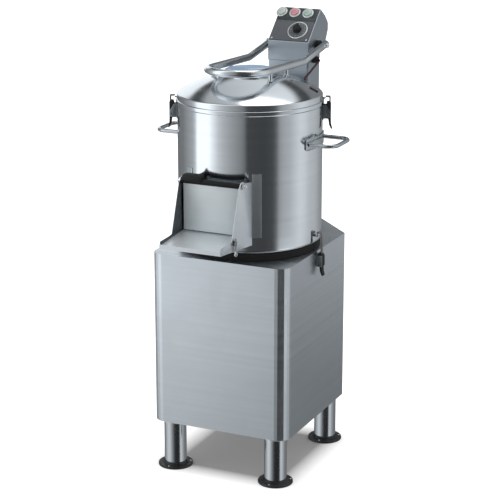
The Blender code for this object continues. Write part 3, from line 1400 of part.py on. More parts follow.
def build_lid_switch():
    half = SENSOR_TAB_WIDTH / 2
    low = SENSOR_TAB_BOTTOM
    high = SENSOR_TAB_TOP
    tab_outline = rounded([(-half, low), (half, low), (half, high), (-half, high)],
                          SENSOR_TAB_ROUND, 5, closed=True)
    out = BEAD_RADIUS + GAP + SENSOR_TAB_THICKNESS / 2
    tab = flat_plate("sensor_bracket", tab_outline, SENSOR_TAB_THICKNESS, (0.0, 0.0, 0.0), "YZ")
    tab.location = (out * math.cos(SENSOR_TAB_ANGLE), out * math.sin(SENSOR_TAB_ANGLE), 0.0)
    tab.rotation_euler = (math.pi / 2, 0.0, math.pi / 2 + SENSOR_TAB_ANGLE)
    finish_piece(smooth(tab), "grey_metal")

    reach = BEAD_RADIUS + GAP + SENSOR_DEPTH / 2
    x = reach * math.cos(SENSOR_ANGLE)
    y = reach * math.sin(SENSOR_ANGLE)
    switch = block("lid_sensor", (SENSOR_DEPTH, SENSOR_WIDTH, SENSOR_TOP - SENSOR_BOTTOM),
                   (x, y, (SENSOR_TOP + SENSOR_BOTTOM) / 2), (0.0, 0.0, SENSOR_ANGLE))
    round_edges(switch, SENSOR_EDGE)
    finish_piece(switch, "black_plastic")

    end_x = COLUMN_HALF_WIDTH + GAP
    start = Vector((x, y, SENSOR_TOP + GAP))
    end = Vector((end_x, CABLE_END_Y, CABLE_END_Z))
    route = [start, start + Vector((0.0, 0.0, CABLE_RISE)),
             Vector((end_x + CABLE_RISE, CABLE_END_Y, CABLE_END_Z)), end]
    cable = as_mesh(bent_tube("sensor_cable", rounded(route, CABLE_RISE / 2, 4), CABLE_RADIUS, 2))
    finish_piece(smooth(cable), "black_rubber")


def main():
    build_cabinet()
    build_legs()
    build_drum()
    build_drive()
    build_motor()
    build_water_lines()
    build_chute()
    build_lid()
    build_column()
    build_controls()
    build_latches()
    build_handles()
    build_lid_switch()
    bpy.context.view_layer.update()


main()
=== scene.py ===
"""Electric potato peeler: finishes, fittings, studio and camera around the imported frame."""

import logging
import math
from dataclasses import dataclass
from enum import Enum
from typing import Any, Callable, Sequence

import bmesh
import bpy
from mathutils import Matrix, Vector


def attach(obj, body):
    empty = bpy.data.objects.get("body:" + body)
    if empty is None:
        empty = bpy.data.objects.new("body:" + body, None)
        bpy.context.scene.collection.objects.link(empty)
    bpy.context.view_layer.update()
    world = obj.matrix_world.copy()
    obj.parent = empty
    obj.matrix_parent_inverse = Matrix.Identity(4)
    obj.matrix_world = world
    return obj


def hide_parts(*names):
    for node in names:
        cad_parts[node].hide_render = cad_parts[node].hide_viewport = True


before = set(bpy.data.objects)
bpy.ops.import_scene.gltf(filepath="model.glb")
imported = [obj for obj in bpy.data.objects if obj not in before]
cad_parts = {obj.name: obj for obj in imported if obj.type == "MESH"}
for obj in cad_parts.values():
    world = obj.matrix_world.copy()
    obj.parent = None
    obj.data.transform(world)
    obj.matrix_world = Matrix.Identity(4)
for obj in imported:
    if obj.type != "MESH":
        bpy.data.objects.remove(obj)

Colour = tuple[float, float, float]
Point = tuple[float, float, float]
Pair = tuple[float, float]

LOG = logging.getLogger("potato_peeler")
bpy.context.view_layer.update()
DRUM_CENTRE = Vector((0.0, -0.013, 0.0))
FULL_TURN = 2.0 * math.pi
MERGE = 0.00001


class NodeBoard:
    """Adds nodes to one node tree and joins them."""

    def __init__(self, tree: bpy.types.NodeTree) -> None:
        """Keeps the tree to work in."""
        self.tree = tree

    def add(self, kind: str, inputs: dict[Any, Any] | None = None,
            **settings: Any) -> bpy.types.Node:
        """Adds a node.

        Args:
            kind: Blender's name of the node type.
            inputs: a value or a socket to link for each input, by name or number.
            settings: the node's own properties.

        Returns:
            The new node.
        """
        node = self.tree.nodes.new(kind)
        for key, value in settings.items():
            setattr(node, key, value)
        for key, value in (inputs or {}).items():
            if isinstance(value, bpy.types.NodeSocket):
                self.tree.links.new(value, node.inputs[key])
            else:
                node.inputs[key].default_value = value
        return node

    def colour_mix(self, factor: Any, first: Any, second: Any) -> bpy.types.NodeSocket:
        """Mixes two colours.

        Args:
            factor: the share of the second colour, a socket or a number.
            first: the colour at 0.
            second: the colour at 1.

        Returns:
            The mixed colour's socket.
        """
        colours = {0: factor}
        for place, colour in ((6, first), (7, second)):
            linked = isinstance(colour, bpy.types.NodeSocket)
            colours[place] = colour if linked else (*colour, 1.0)
        return self.add("ShaderNodeMix", colours, data_type="RGBA").outputs[2]

    def surface(self, shader: bpy.types.Node, colour: Any, gloss: Any, height: Any,
                strength: float, distance: float) -> None:
        """Joins a surface's colour, gloss and height to its shader.

        Args:
            shader: the shader to join them to.
            colour: the colour's socket.
            gloss: the roughness's socket.
            height: the socket of the height that the bump follows.
            strength: how strong the bump is.
            distance: how deep the bump is.
        """
        bump = self.add("ShaderNodeBump", {"Height": height, "Strength": strength,
                                           "Distance": distance})
        self.tree.links.new(colour, shader.inputs["Base Color"])
        self.tree.links.new(gloss, shader.inputs["Roughness"])
        self.tree.links.new(bump.outputs[0], shader.inputs["Normal"])

    def ranged(self, value: Any, low: float, high: float, from_low: float = 0.0,
               from_high: float = 1.0) -> bpy.types.NodeSocket:
        """Carries a value from one range to another.

        Args:
            value: the socket to carry over.
            low: the result at from_low.
            high: the result at from_high.
            from_low: where the range starts.
            from_high: where the range ends.

        Returns:
            The result's socket.
        """
        inputs = {"Value": value, "From Min": from_low, "From Max": from_high,
                  "To Min": low, "To Max": high}
        return self.add("ShaderNodeMapRange", inputs).outputs["Result"]

    def maths(self, operation: str, *values: Any) -> bpy.types.NodeSocket:
        """Works out a sum.

        Args:
            operation: the name of the sum.
            values: its terms.

        Returns:
            The result's socket.
        """
        node = self.add("ShaderNodeMath", dict(enumerate(values)), operation=operation)
        return node.outputs[0]


class SurfaceEffects:
    """The shader groups that several finishes share."""

    def __init__(self) -> None:
        """Builds each group once."""
        self.lines = self.build_lines()
        self.marks = self.build_marks()
        self.scratches = self.build_scratches()
        self.pebble = self.build_pebble()
        self.grit = self.build_grit()

    @staticmethod
    def start(name: str, **inputs: str) -> tuple[NodeBoard, Any, bpy.types.NodeSocket]:
        """Starts a node group.

        Args:
            name: the group's name.
            inputs: kinds of its inputs besides the coordinates, with _ for a space in a name.

        Returns:
            The group's board, its inputs and the coordinates.
        """
        tree = bpy.data.node_groups.new(name, "ShaderNodeTree")
        for label, kind in {"Coordinates": "Vector", **inputs}.items():
            tree.interface.new_socket(name=label.replace("_", " "), in_out="INPUT",
                                      socket_type=f"NodeSocket{kind}")
        board = NodeBoard(tree)
        entry = board.add("NodeGroupInput").outputs
        return board, entry, entry["Coordinates"]

    @staticmethod
    def close(board: NodeBoard, **outputs: bpy.types.NodeSocket) -> bpy.types.NodeTree:
        """Ends a node group.

        Args:
            board: the group's board.
            outputs: the socket that feeds each output.

        Returns:
            The finished group.
        """
        for label in outputs:
            board.tree.interface.new_socket(name=label, in_out="OUTPUT",
                                            socket_type="NodeSocketFloat")
        board.add("NodeGroupOutput", outputs)
        return board.tree

    def build_lines(self) -> bpy.types.NodeTree:
        """Fine drawn lines of brushed or rolled steel, with broader streaks."""
        board, entry, place = self.start("brushed_lines", Line_Scale="Vector")
        drawn = board.add("ShaderNodeVectorMath", {0: place, 1: entry["Line Scale"]},
                          operation="MULTIPLY").outputs[0]
        fine = board.add("ShaderNodeTexNoise", {"Vector": drawn, "Scale": 1.0, "Detail": 3.0,
                                                "Roughness": 0.65})
        broad = board.add("ShaderNodeTexNoise", {"Vector": drawn, "Scale": 0.14, "Detail": 2.0})
        return self.close(board, Height=fine.outputs[0], Streaks=broad.outputs[0])

    def build_marks(self) -> bpy.types.NodeTree:
        """Soft patches left by hands and wiping."""
        board, entry, place = self.start("handling_marks", Patch_Scale="Float")
        cloud = board.add("ShaderNodeTexNoise", {"Vector": place, "Scale": entry["Patch Scale"],
                                                 "Detail": 3.0, "Distortion": 0.6})
        return self.close(board, Mask=board.ranged(cloud.outputs[0], 0.0, 1.0, 0.42, 0.68))

    def build_scratches(self) -> bpy.types.NodeTree:
        """Sparse hairlines where a surface is touched and wiped."""
        board, _, place = self.start("hairline_scratches")
        turned = board.add("ShaderNodeMapping", {"Vector": place, "Rotation": (0.5, 0.35, 0.8),
                                                 "Scale": (14.0, 420.0, 60.0)})
        hair = board.add("ShaderNodeTexNoise", {"Vector": turned.outputs[0], "Scale": 1.0,
                                                "Detail": 1.0})
        area = board.add("ShaderNodeTexNoise", {"Vector": place, "Scale": 18.0})
        lines = board.ranged(hair.outputs[0], 0.0, 1.0, 0.66, 0.72)
        where = board.ranged(area.outputs[0], 0.0, 1.0, 0.5, 0.62)
        return self.close(board, Mask=board.maths("MULTIPLY", lines, where))

    def build_pebble(self) -> bpy.types.NodeTree:
        """The fine spark-eroded grain of moulded plastic and rubber."""
        board, entry, place = self.start("moulded_grain", Grain_Scale="Float")
        cells = board.add("ShaderNodeTexVoronoi", {"Vector": place, "Scale": entry["Grain Scale"]})
        mottle = board.add("ShaderNodeTexNoise", {"Vector": place, "Scale": 60.0, "Detail": 3.0})
        return self.close(board, Height=cells.outputs["Distance"], Mottle=mottle.outputs[0])

    def build_grit(self) -> bpy.types.NodeTree:
        """Bonded abrasive grains in two sizes."""
        board, _, place = self.start("bonded_grit")
        coarse = board.add("ShaderNodeTexVoronoi", {"Vector": place, "Scale": 420.0})
        fine = board.add("ShaderNodeTexVoronoi", {"Vector": place, "Scale": 900.0})
        heap = board.maths("ADD", coarse.outputs["Distance"], fine.outputs["Distance"])
        tone = board.add("ShaderNodeSeparateColor", {0: coarse.outputs["Color"]})
        return self.close(board, Height=heap, Grains=tone.outputs[0])


EFFECTS = SurfaceEffects()


class Grain(Enum):
    """Which way the lines of a brushed surface run, as line scales along X, Y and Z."""

    LEVEL = (2.5, 2.5, 520.0)
    UPRIGHT = (520.0, 520.0, 2.5)
    SIDEWAYS = (2.5, 520.0, 520.0)
    LENGTHWISE = (520.0, 2.5, 520.0)
    ALL_ROUND = (160.0, 160.0, 160.0)


class Finish:
    """What every finish has: a name, and a material made the first time it is asked for."""

    name: str

    def material(self) -> bpy.types.Material:
        """Returns the finish's material."""
        found = bpy.data.materials.get(self.name)
        if found is not None:
            return found
        material = bpy.data.materials.new(self.name)
        material.use_nodes = True
        board = NodeBoard(material.node_tree)
        shader = material.node_tree.nodes["Principled BSDF"]
        place = board.add("ShaderNodeTexCoord").outputs["Object"]
        self.paint(board, shader, place)
        return material

    def paint(self, board: NodeBoard, shader: bpy.types.Node, place: bpy.types.NodeSocket) -> None:
        """Adds the finish's nodes; each kind of finish has its own.

        Args:
            board: the material's board.
            shader: the material's shader.
            place: the place on the object.
        """
        raise NotImplementedError

    @staticmethod
    def group(board: NodeBoard, tree: bpy.types.NodeTree, inputs: dict[str, Any]) -> Any:
        """Places a shared group.

        Args:
            board: the material's board.
            tree: the group to place.
            inputs: its inputs by name.

        Returns:
            The group node's outputs.
        """
        return board.add("ShaderNodeGroup", inputs, node_tree=tree).outputs


@dataclass(frozen=True)
class Steel(Finish):
    """Stainless steel, from polished to brushed."""

    name: str
    colour: Colour
    shade: Colour
    roughness: float
    spread: float
    grain: Grain
    depth: float
    patch_scale: float = 9.0
    metal: float = 1.0

    def paint(self, board: NodeBoard, shader: bpy.types.Node, place: bpy.types.NodeSocket) -> None:
        """Drawn lines in the gloss and the height, wiped patches in the colour and the gloss.

        Args:
            board: the material's board.
            shader: the material's shader.
            place: the place on the object.
        """
        lines = self.group(board, EFFECTS.lines, {"Coordinates": place,
                                                  "Line Scale": self.grain.value})
        marks = self.group(board, EFFECTS.marks, {"Coordinates": place,
                                                  "Patch Scale": self.patch_scale})
        hairs = self.group(board, EFFECTS.scratches, {"Coordinates": place})
        tone = board.ranged(lines["Streaks"], 0.0, 1.0, 0.3, 0.7)
        toned = board.colour_mix(tone, self.shade, self.colour)
        worn = tuple(0.9 * part for part in self.colour)
        wiped = board.maths("MULTIPLY", marks["Mask"], 0.5)
        colour = board.colour_mix(wiped, toned, worn)
        gloss = board.ranged(lines["Streaks"], self.roughness - self.spread,
                             self.roughness + self.spread, 0.3, 0.7)
        dulled = board.maths("MULTIPLY_ADD", marks["Mask"], self.spread, gloss)
        scuffed = board.maths("MULTIPLY_ADD", hairs["Mask"], 0.05, dulled)
        board.surface(shader, colour, scuffed, lines["Height"], self.depth, 0.0004)
        shader.inputs["Metallic"].default_value = self.metal


@dataclass(frozen=True)
class Moulded(Finish):
    """Moulded plastic, rubber or paint."""

    name: str
    colour: Colour
    worn: Colour
    roughness: float
    grain_scale: float
    depth: float
    coat: float = 0.0
    metal: float = 0.0

    def paint(self, board: NodeBoard, shader: bpy.types.Node, place: bpy.types.NodeSocket) -> None:
        """Grain in the height, mottle in the colour, rubbed patches in the gloss.

        Args:
            board: the material's board.
            shader: the material's shader.
            place: the place on the object.
        """
        grain = self.group(board, EFFECTS.pebble, {"Coordinates": place,
                                                   "Grain Scale": self.grain_scale})
        marks = self.group(board, EFFECTS.marks, {"Coordinates": place, "Patch Scale": 34.0})
        hairs = self.group(board, EFFECTS.scratches, {"Coordinates": place})
        rubbed = board.maths("MAXIMUM", board.maths("MULTIPLY", marks["Mask"], 0.45),
                             board.maths("MULTIPLY", hairs["Mask"], 0.7))
        colour = board.colour_mix(rubbed, self.colour, self.worn)
        gloss = board.ranged(grain["Mottle"], self.roughness - 0.06, self.roughness + 0.08, 0.3,
                             0.7)
        board.surface(shader, colour, gloss, grain["Height"], self.depth, 0.0003)
        shader.inputs["Metallic"].default_value = self.metal
        shader.inputs["Coat Weight"].default_value = self.coat


@dataclass(frozen=True)
class Abrasive(Finish):
    """The coarse bonded grit of the disc and the liner."""

    name: str
    dark: Colour
    light: Colour

    def paint(self, board: NodeBoard, shader: bpy.types.Node, place: bpy.types.NodeSocket) -> None:
        """Grains in the colour and the height.

        Args:
            board: the material's board.
            shader: the material's shader.
            place: the place on the object.
        """
        grit = self.group(board, EFFECTS.grit, {"Coordinates": place})
        marks = self.group(board, EFFECTS.marks, {"Coordinates": place, "Patch Scale": 14.0})
        grains = board.colour_mix(grit["Grains"], self.dark, self.light)
        worn = tuple(0.6 * part for part in self.light)
        colour = board.colour_mix(board.maths("MULTIPLY", marks["Mask"], 0.4), grains, worn)
        gloss = board.ranged(grit["Grains"], 0.62, 0.92)
        board.surface(shader, colour, gloss, grit["Height"], 0.9, 0.0016)


@dataclass(frozen=True)
class Clear(Finish):
    """Tinted clear plastic that lets part of the light through."""

    name: str
    colour: Colour
    hazed: Colour
    roughness: float
    through: float
    coat: float = 0.6

    def paint(self, board: NodeBoard, shader: bpy.types.Node, place: bpy.types.NodeSocket) -> None:
        """Haze and hairlines in the colour and the gloss.

        Args:
            board: the material's board.
            shader: the material's shader.
            place: the place on the object.
        """
        marks = self.group(board, EFFECTS.marks, {"Coordinates": place, "Patch Scale": 26.0})
        hairs = self.group(board, EFFECTS.scratches, {"Coordinates": place})
        dull = board.maths("MAXIMUM", board.maths("MULTIPLY", marks["Mask"], 0.5), hairs["Mask"])
        colour = board.colour_mix(dull, self.colour, self.hazed)
        gloss = board.ranged(dull, self.roughness, self.roughness + 0.14)
        grain = self.group(board, EFFECTS.pebble, {"Coordinates": place, "Grain Scale": 300.0})
        board.surface(shader, colour, gloss, grain["Mottle"], 0.03, 0.0004)
        shader.inputs["Transmission Weight"].default_value = self.through
        shader.inputs["Coat Weight"].default_value = self.coat


MIRROR = (0.80, 0.83, 0.855)
MIRROR_SHADE = (0.75, 0.785, 0.815)
BRUSHED = (0.74, 0.78, 0.81)
BRUSHED_SHADE = (0.68, 0.72, 0.755)

DRUM_STEEL = Steel("drum_steel", MIRROR, MIRROR_SHADE, 0.12, 0.02, Grain.LEVEL, 0.03)
LID_STEEL = Steel("lid_steel", MIRROR, MIRROR_SHADE, 0.15, 0.02, Grain.LEVEL, 0.03)
TUBE_STEEL = Steel("tube_steel", MIRROR, MIRROR_SHADE, 0.16, 0.03, Grain.ALL_ROUND, 0.02)
LEG_STEEL = Steel("leg_steel", MIRROR, MIRROR_SHADE, 0.16, 0.03, Grain.UPRIGHT, 0.04)
CABINET_STEEL = Steel("cabinet_steel", BRUSHED, BRUSHED_SHADE, 0.31, 0.04, Grain.LEVEL, 0.12)
DECK_STEEL = Steel("deck_steel", BRUSHED, BRUSHED_SHADE, 0.34, 0.04, Grain.SIDEWAYS, 0.12)
CHUTE_STEEL = Steel("chute_steel", MIRROR, MIRROR_SHADE, 0.3, 0.03, Grain.SIDEWAYS, 0.05)
TRAY_STEEL = Steel("tray_steel", (0.8, 0.87, 0.9), MIRROR, 0.36, 0.03, Grain.SIDEWAYS, 0.05,
                   metal=0.5)
FLANGE_STEEL = Steel("flange_steel", (0.62, 0.66, 0.68), (0.56, 0.6, 0.63), 0.34, 0.03,
                     Grain.UPRIGHT, 0.06, metal=0.85)
# Dark steel for the chute cheeks' inner faces: painted shade, a dark reflection painted into the
# colour.
CHEEK_PAINTED_SHADE = Steel("cheek_painted_shade", (0.16, 0.17, 0.18), (0.12, 0.13, 0.14), 0.34, 0.03,
                    Grain.SIDEWAYS, 0.05)
DOOR_STEEL = Steel("door_steel", (0.85, 0.92, 0.95), (0.81, 0.88, 0.91), 0.42, 0.03, Grain.LEVEL,
                   0.04, metal=0.25)
POST_STEEL = Steel("post_steel", (0.46, 0.5, 0.54), (0.4, 0.44, 0.48), 0.33, 0.04, Grain.UPRIGHT,
                   0.1)
BOX_STEEL = Steel("box_steel", (0.44, 0.48, 0.52), (0.38, 0.42, 0.46), 0.33, 0.04, Grain.SIDEWAYS,
                  0.1)
BRIGHT_STEEL = Steel("bright_steel", (0.86, 0.87, 0.88), (0.8, 0.81, 0.83), 0.14, 0.03,
                     Grain.ALL_ROUND, 0.03, 40.0)
GREY_IRON = Moulded("grey_iron", (0.22, 0.225, 0.235), (0.4, 0.4, 0.41), 0.48, 700.0, 0.25,
                    metal=0.6)
MOTOR_PAINT = Moulded("motor_paint", (0.07, 0.1, 0.13), (0.16, 0.18, 0.2), 0.4, 500.0, 0.2, 0.2)
BLACK_PLASTIC = Moulded("black_plastic", (0.014, 0.014, 0.015), (0.05, 0.05, 0.052), 0.36, 900.0,
                        0.12)
# Black rubber; the same finish is also painted on the door's top roll as shade.
BLACK_RUBBER_AND_SHADE = Moulded("black_rubber", (0.012, 0.012, 0.013), (0.04, 0.04, 0.04), 0.62, 1100.0,
                       0.2)
FOOT_BLACK = Moulded("foot_black", (0.016, 0.016, 0.018), (0.06, 0.06, 0.06), 0.42, 800.0, 0.15)
PANEL_GREY = Moulded("panel_grey", (0.088, 0.102, 0.113), (0.12, 0.13, 0.14), 0.42, 1200.0, 0.08)
STRIP_GREY = Moulded("strip_grey", (0.035, 0.045, 0.045), (0.07, 0.08, 0.08), 0.36, 1200.0, 0.06)
DIAL_BLACK = Moulded("dial_black", (0.085, 0.1, 0.106), (0.12, 0.13, 0.14), 0.38, 1200.0, 0.05)
CLEAR_BUTTON = Moulded("clear_button", (0.5, 0.56, 0.53), (0.6, 0.64, 0.62), 0.2, 300.0, 0.03, 0.8)
RED_BUTTON = Moulded("red_button", (0.6, 0.24, 0.27), (0.66, 0.34, 0.36), 0.22, 300.0, 0.03, 0.8)
GREEN_BUTTON = Moulded("green_button", (0.36, 0.5, 0.44), (0.46, 0.58, 0.52), 0.22, 300.0, 0.03,
                       0.8)
BRACKET_STEEL = Steel("bracket_steel", (0.42, 0.45, 0.47), (0.34, 0.37, 0.39), 0.34, 0.05,
                      Grain.ALL_ROUND, 0.06, 40.0)
BEZEL_STEEL = Steel("bezel_steel", (0.84, 0.86, 0.87), (0.78, 0.8, 0.81), 0.24, 0.03,
                    Grain.ALL_ROUND, 0.02, 40.0, 0.5)
HANDLE_STEEL = Steel("handle_steel", (0.56, 0.6, 0.62), (0.48, 0.52, 0.54), 0.2, 0.04,
                     Grain.ALL_ROUND, 0.03, 40.0)
TICK_WHITE = Moulded("tick_white", (0.6, 0.61, 0.62), (0.5, 0.5, 0.5), 0.4, 900.0, 0.02)
CABLE_RED = Moulded("cable_red", (0.05, 0.012, 0.014), (0.12, 0.04, 0.04), 0.45, 900.0, 0.1)
ABRASIVE_GREY = Abrasive("abrasive_grey", (0.09, 0.085, 0.08), (0.34, 0.325, 0.3))
WINDOW_BLUE = Clear("window_blue", (0.42, 0.52, 0.66), (0.52, 0.6, 0.7), 0.08, 0.25, 1.0)


class HeadShape(Enum):
    """Side views of small turned heads, as pairs of radius and height."""

    PAN = ((0.0, 0.0022), (0.0018, 0.0021), (0.0033, 0.0014), (0.004, 0.0), (0.0, 0.0))
    FOOT = ((0.0, 0.0014), (0.0014, 0.0013), (0.0026, 0.0004), (0.0028, -0.0004), (0.0, -0.0004))
    PANEL = ((0.0, 0.0012), (0.0013, 0.0011), (0.0024, 0.0003), (0.0025, 0.0), (0.0, 0.0))
    WINDOW = ((0.0, 0.0034), (0.0016, 0.0033), (0.0032, 0.0024), (0.0038, 0.001), (0.0038, 0.0),
              (0.0, 0.0))
    AXLE = ((0.0, 0.0038), (0.004, 0.0035), (0.0068, 0.0022), (0.008, 0.0006), (0.008, 0.0),
            (0.0, 0.0))
    WELD = ((0.0, 0.0032), (0.0046, 0.003), (0.0062, 0.0014), (0.0068, 0.0), (0.0, 0.0))


class Along(Enum):
    """The axis that a rod lies along, as the turn that takes it there from Z."""

    X = Matrix.Rotation(math.pi / 2, 4, "Y")
    Y = Matrix.Rotation(math.pi / 2, 4, "X")


class CadDresser:
    """Gives carried-over nodes their finishes."""

    @staticmethod
    def dress(finish: Finish, *nodes: str) -> None:
        """Puts one finish on some nodes.

        Args:
            finish: the finish to use.
            nodes: names of the nodes that take it.
        """
        for name in nodes:
            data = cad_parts[name].data
            data.materials.clear()
            data.materials.append(finish.material())
            LOG.info("dressed %s with %s", name, finish.name)


class Workpiece:
    """One new piece under construction."""

    def __init__(self, name: str) -> None:
        """Starts an empty piece under its name."""
        self.name = name
        self.mesh = bmesh.new()

    def add(self, other: "Workpiece") -> "Workpiece":
        """Takes another piece's shape in.

        Args:
            other: the piece to take in, which is used up.

        Returns:
            This piece.
        """
        data = bpy.data.meshes.new("shape")
        other.mesh.to_mesh(data)
        other.mesh.free()
        self.mesh.from_mesh(data)
        bpy.data.meshes.remove(data)
        return self

    def turned(self, profile: Sequence[Pair], steps: int, closed: bool = False) -> "Workpiece":
        """Spins a profile about Z.

        Args:
            profile: pairs of radius and height.
            steps: facets in a full turn.
            closed: whether the profile's ends meet.

        Returns:
            This piece.
        """
        points = [self.mesh.verts.new((radius, 0.0, height)) for radius, height in profile]
        chain = points + points[:1] if closed else points
        edges = [self.mesh.edges.new(pair) for pair in zip(chain, chain[1:])]
        bmesh.ops.spin(self.mesh, geom=points + edges, cent=(0.0, 0.0, 0.0), axis=(0.0, 0.0, 1.0),
                       angle=FULL_TURN, steps=steps, use_merge=True)
        bmesh.ops.remove_doubles(self.mesh, verts=self.mesh.verts, dist=MERGE)
        return self

    def block(self, size: Point, centre: Point = (0.0, 0.0, 0.0), bevel: float = 0.0005,
              segments: int = 2) -> "Workpiece":
        """A block with rounded edges.

        Args:
            size: its length along X, Y and Z.
            centre: its middle.
            bevel: how far its edges are rounded.
            segments: steps of the rounding.

        Returns:
            This piece.
        """
        place = Matrix.Translation(centre) @ Matrix.Diagonal((*size, 1.0))
        made = bmesh.ops.create_cube(self.mesh, size=1.0, matrix=place)["verts"]
        self.round_over(list({edge for vert in made for edge in vert.link_edges}), bevel, segments)
        return self

    def heads(self, shape: HeadShape, steps: int, *places: Matrix) -> "Workpiece":
        """Sets the same turned head at some places.

        Args:
            shape: the head's side view.
            steps: facets around it.
            places: where each one goes.

        Returns:
            This piece.
        """
        for place in places:
            self.add(Workpiece("head").turned(shape.value, steps).moved(place))
        return self

    def rod(self, radius: float, length: float, along: Along, steps: int,
            bevel: float) -> "Workpiece":
        """A rod with rounded ends, as long to both sides of the origin.

        Args:
            radius: its radius.
            length: its length.
            along: the axis it lies along.
            steps: facets around it.
            bevel: how far its ends are rounded.

        Returns:
            This piece.
        """
        made = bmesh.ops.create_cone(self.mesh, cap_ends=True, segments=steps, radius1=radius,
                                     radius2=radius, depth=length, matrix=along.value)["verts"]
        faces = {face for vert in made for face in vert.link_faces}
        caps = [face for face in faces if len(face.verts) == steps]
        self.round_over(list({edge for face in caps for edge in face.edges}), bevel, 2)
        return self

    def round_over(self, edges: list[bmesh.types.BMEdge], width: float, segments: int = 2) -> None:
        """Rounds some edges.

        Args:
            edges: the edges to round.
            width: how far they are rounded.
            segments: steps of the rounding.
        """
        if width > 0.0:
            bmesh.ops.bevel(self.mesh, geom=edges, offset=width, offset_type="OFFSET",
                            segments=segments, profile=0.5, affect="EDGES", material=-1,
                            clamp_overlap=True)

    def round_sharp(self, width: float, segments: int = 2, angle: float = 40.0) -> "Workpiece":
        """Rounds every edge sharper than an angle.

        Args:
            width: how far the edges are rounded.
            segments: steps of the rounding.
            angle: the angle between faces, in degrees.

        Returns:
            This piece.
        """
        bmesh.ops.recalc_face_normals(self.mesh, faces=self.mesh.faces)
        limit = math.radians(angle)
        sharp = [edge for edge in self.mesh.edges
                 if edge.is_manifold and edge.calc_face_angle(0.0) > limit]
        self.round_over(sharp, width, segments)
        return self

    def tube(self, path: list[Vector], radius: float, sides: int = 20) -> "Workpiece":
        """A round tube along a path, closed at its ends.

        Args:
            path: the points of its middle line.
            radius: its radius.
            sides: facets around it.

        Returns:
            This piece.
        """
        ways = []
        for index in range(len(path)):
            before = path[max(index - 1, 0)]
            after = path[min(index + 1, len(path) - 1)]
            ways.append((after - before).normalized())
        turn = Vector((0.0, 0.0, 1.0)).rotation_difference(ways[0])
        start = Matrix.Translation(path[0]) @ turn.to_matrix().to_4x4()
        ring = bmesh.ops.create_circle(self.mesh, cap_ends=True, segments=sides, radius=radius,
                                       matrix=start)["verts"]
        face = ring[0].link_faces[0]
        for index in range(1, len(path)):
            made = bmesh.ops.extrude_face_region(self.mesh, geom=[face])["geom"]
            face = next(item for item in made if isinstance(item, bmesh.types.BMFace))
            corners = list(face.verts)
            swing = ways[index - 1].rotation_difference(ways[index]).to_matrix()
            bmesh.ops.translate(self.mesh, vec=path[index] - path[index - 1], verts=corners)
            bmesh.ops.rotate(self.mesh, cent=path[index], matrix=swing, verts=corners)
        return self

    def shell_part(self, inner: float, outer: float, low: float, high: float, start: float,
                   stop: float, steps: int) -> "Workpiece":
        """A curved plate that follows the drum.

        Args:
            inner: radius of its back.
            outer: radius of its face.
            low: height of its foot.
            high: height of its top.
            start: its first angle in degrees.
            stop: its last angle in degrees.
            steps: facets along it.

        Returns:
            This piece.
        """
        turn = Matrix.Rotation(math.radians(start), 4, "Z")
        corners = [self.mesh.verts.new(turn @ Vector((radius, 0.0, height)))
                   for radius, height in ((inner, low), (outer, low), (outer, high), (inner, high))]
        face = self.mesh.faces.new(corners)
        bmesh.ops.spin(self.mesh, geom=[face], cent=(0.0, 0.0, 0.0), axis=(0.0, 0.0, 1.0),
                       angle=math.radians(stop - start), steps=steps)
        return self

    def copied(self, node: str, width: float) -> "Workpiece":
        """Copies a node's shape and rounds its sharp edges.

        Args:
            node: the node to copy.
            width: how far its edges are rounded.

        Returns:
            This piece, moved so that the drum's axis is its origin.
        """
        self.mesh.from_mesh(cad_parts[node].data)
        bmesh.ops.remove_doubles(self.mesh, verts=self.mesh.verts, dist=MERGE)
        bmesh.ops.dissolve_limit(self.mesh, angle_limit=math.radians(1.0), verts=self.mesh.verts,
                                 edges=self.mesh.edges)
        bmesh.ops.translate(self.mesh, vec=-DRUM_CENTRE, verts=self.mesh.verts)
        return self.round_sharp(width)

    def thicken(self, height: float) -> "Workpiece":
        """Raises the level faces made so far into a plate.

        Args:
            height: how thick it gets.

        Returns:
            This piece.
        """
        raised = bmesh.ops.extrude_face_region(self.mesh, geom=list(self.mesh.faces))["geom"]
        lifted = [item for item in raised if isinstance(item, bmesh.types.BMVert)]
        bmesh.ops.translate(self.mesh, vec=(0.0, 0.0, height), verts=lifted)
        return self

    def plate(self, outline: list[Pair], thickness: float) -> "Workpiece":
        """An upright plate, as thick to both sides of the XZ plane.

        Args:
            outline: its corners in that plane.
            thickness: how thick it is.

        Returns:
            This piece.
        """
        self.mesh.faces.new([self.mesh.verts.new((x, y, -thickness / 2)) for x, y in outline])
        return self.thicken(thickness).moved(Matrix.Rotation(math.pi / 2, 4, "X"))

    def bored_plate(self, loops: list[list[Pair]], low: float, high: float) -> "Workpiece":
        """A level plate with holes through it.

        Args:
            loops: its outline, then the outline of each hole.
            low: height of its underside.
            high: height of its top.

        Returns:
            This piece.
        """
        edges = []
        for loop in loops:
            points = [self.mesh.verts.new((x, y, low)) for x, y in loop]
            edges += [self.mesh.edges.new(pair) for pair in zip(points, points[1:] + points[:1])]
        bmesh.ops.triangle_fill(self.mesh, use_beauty=True, use_dissolve=False, edges=edges)
        return self.thicken(high - low)

    def moved(self, matrix: Matrix) -> "Workpiece":
        """Moves the whole shape.

        Args:
            matrix: where it goes.

        Returns:
            This piece.
        """
        bmesh.ops.transform(self.mesh, matrix=matrix, verts=self.mesh.verts)
        return self

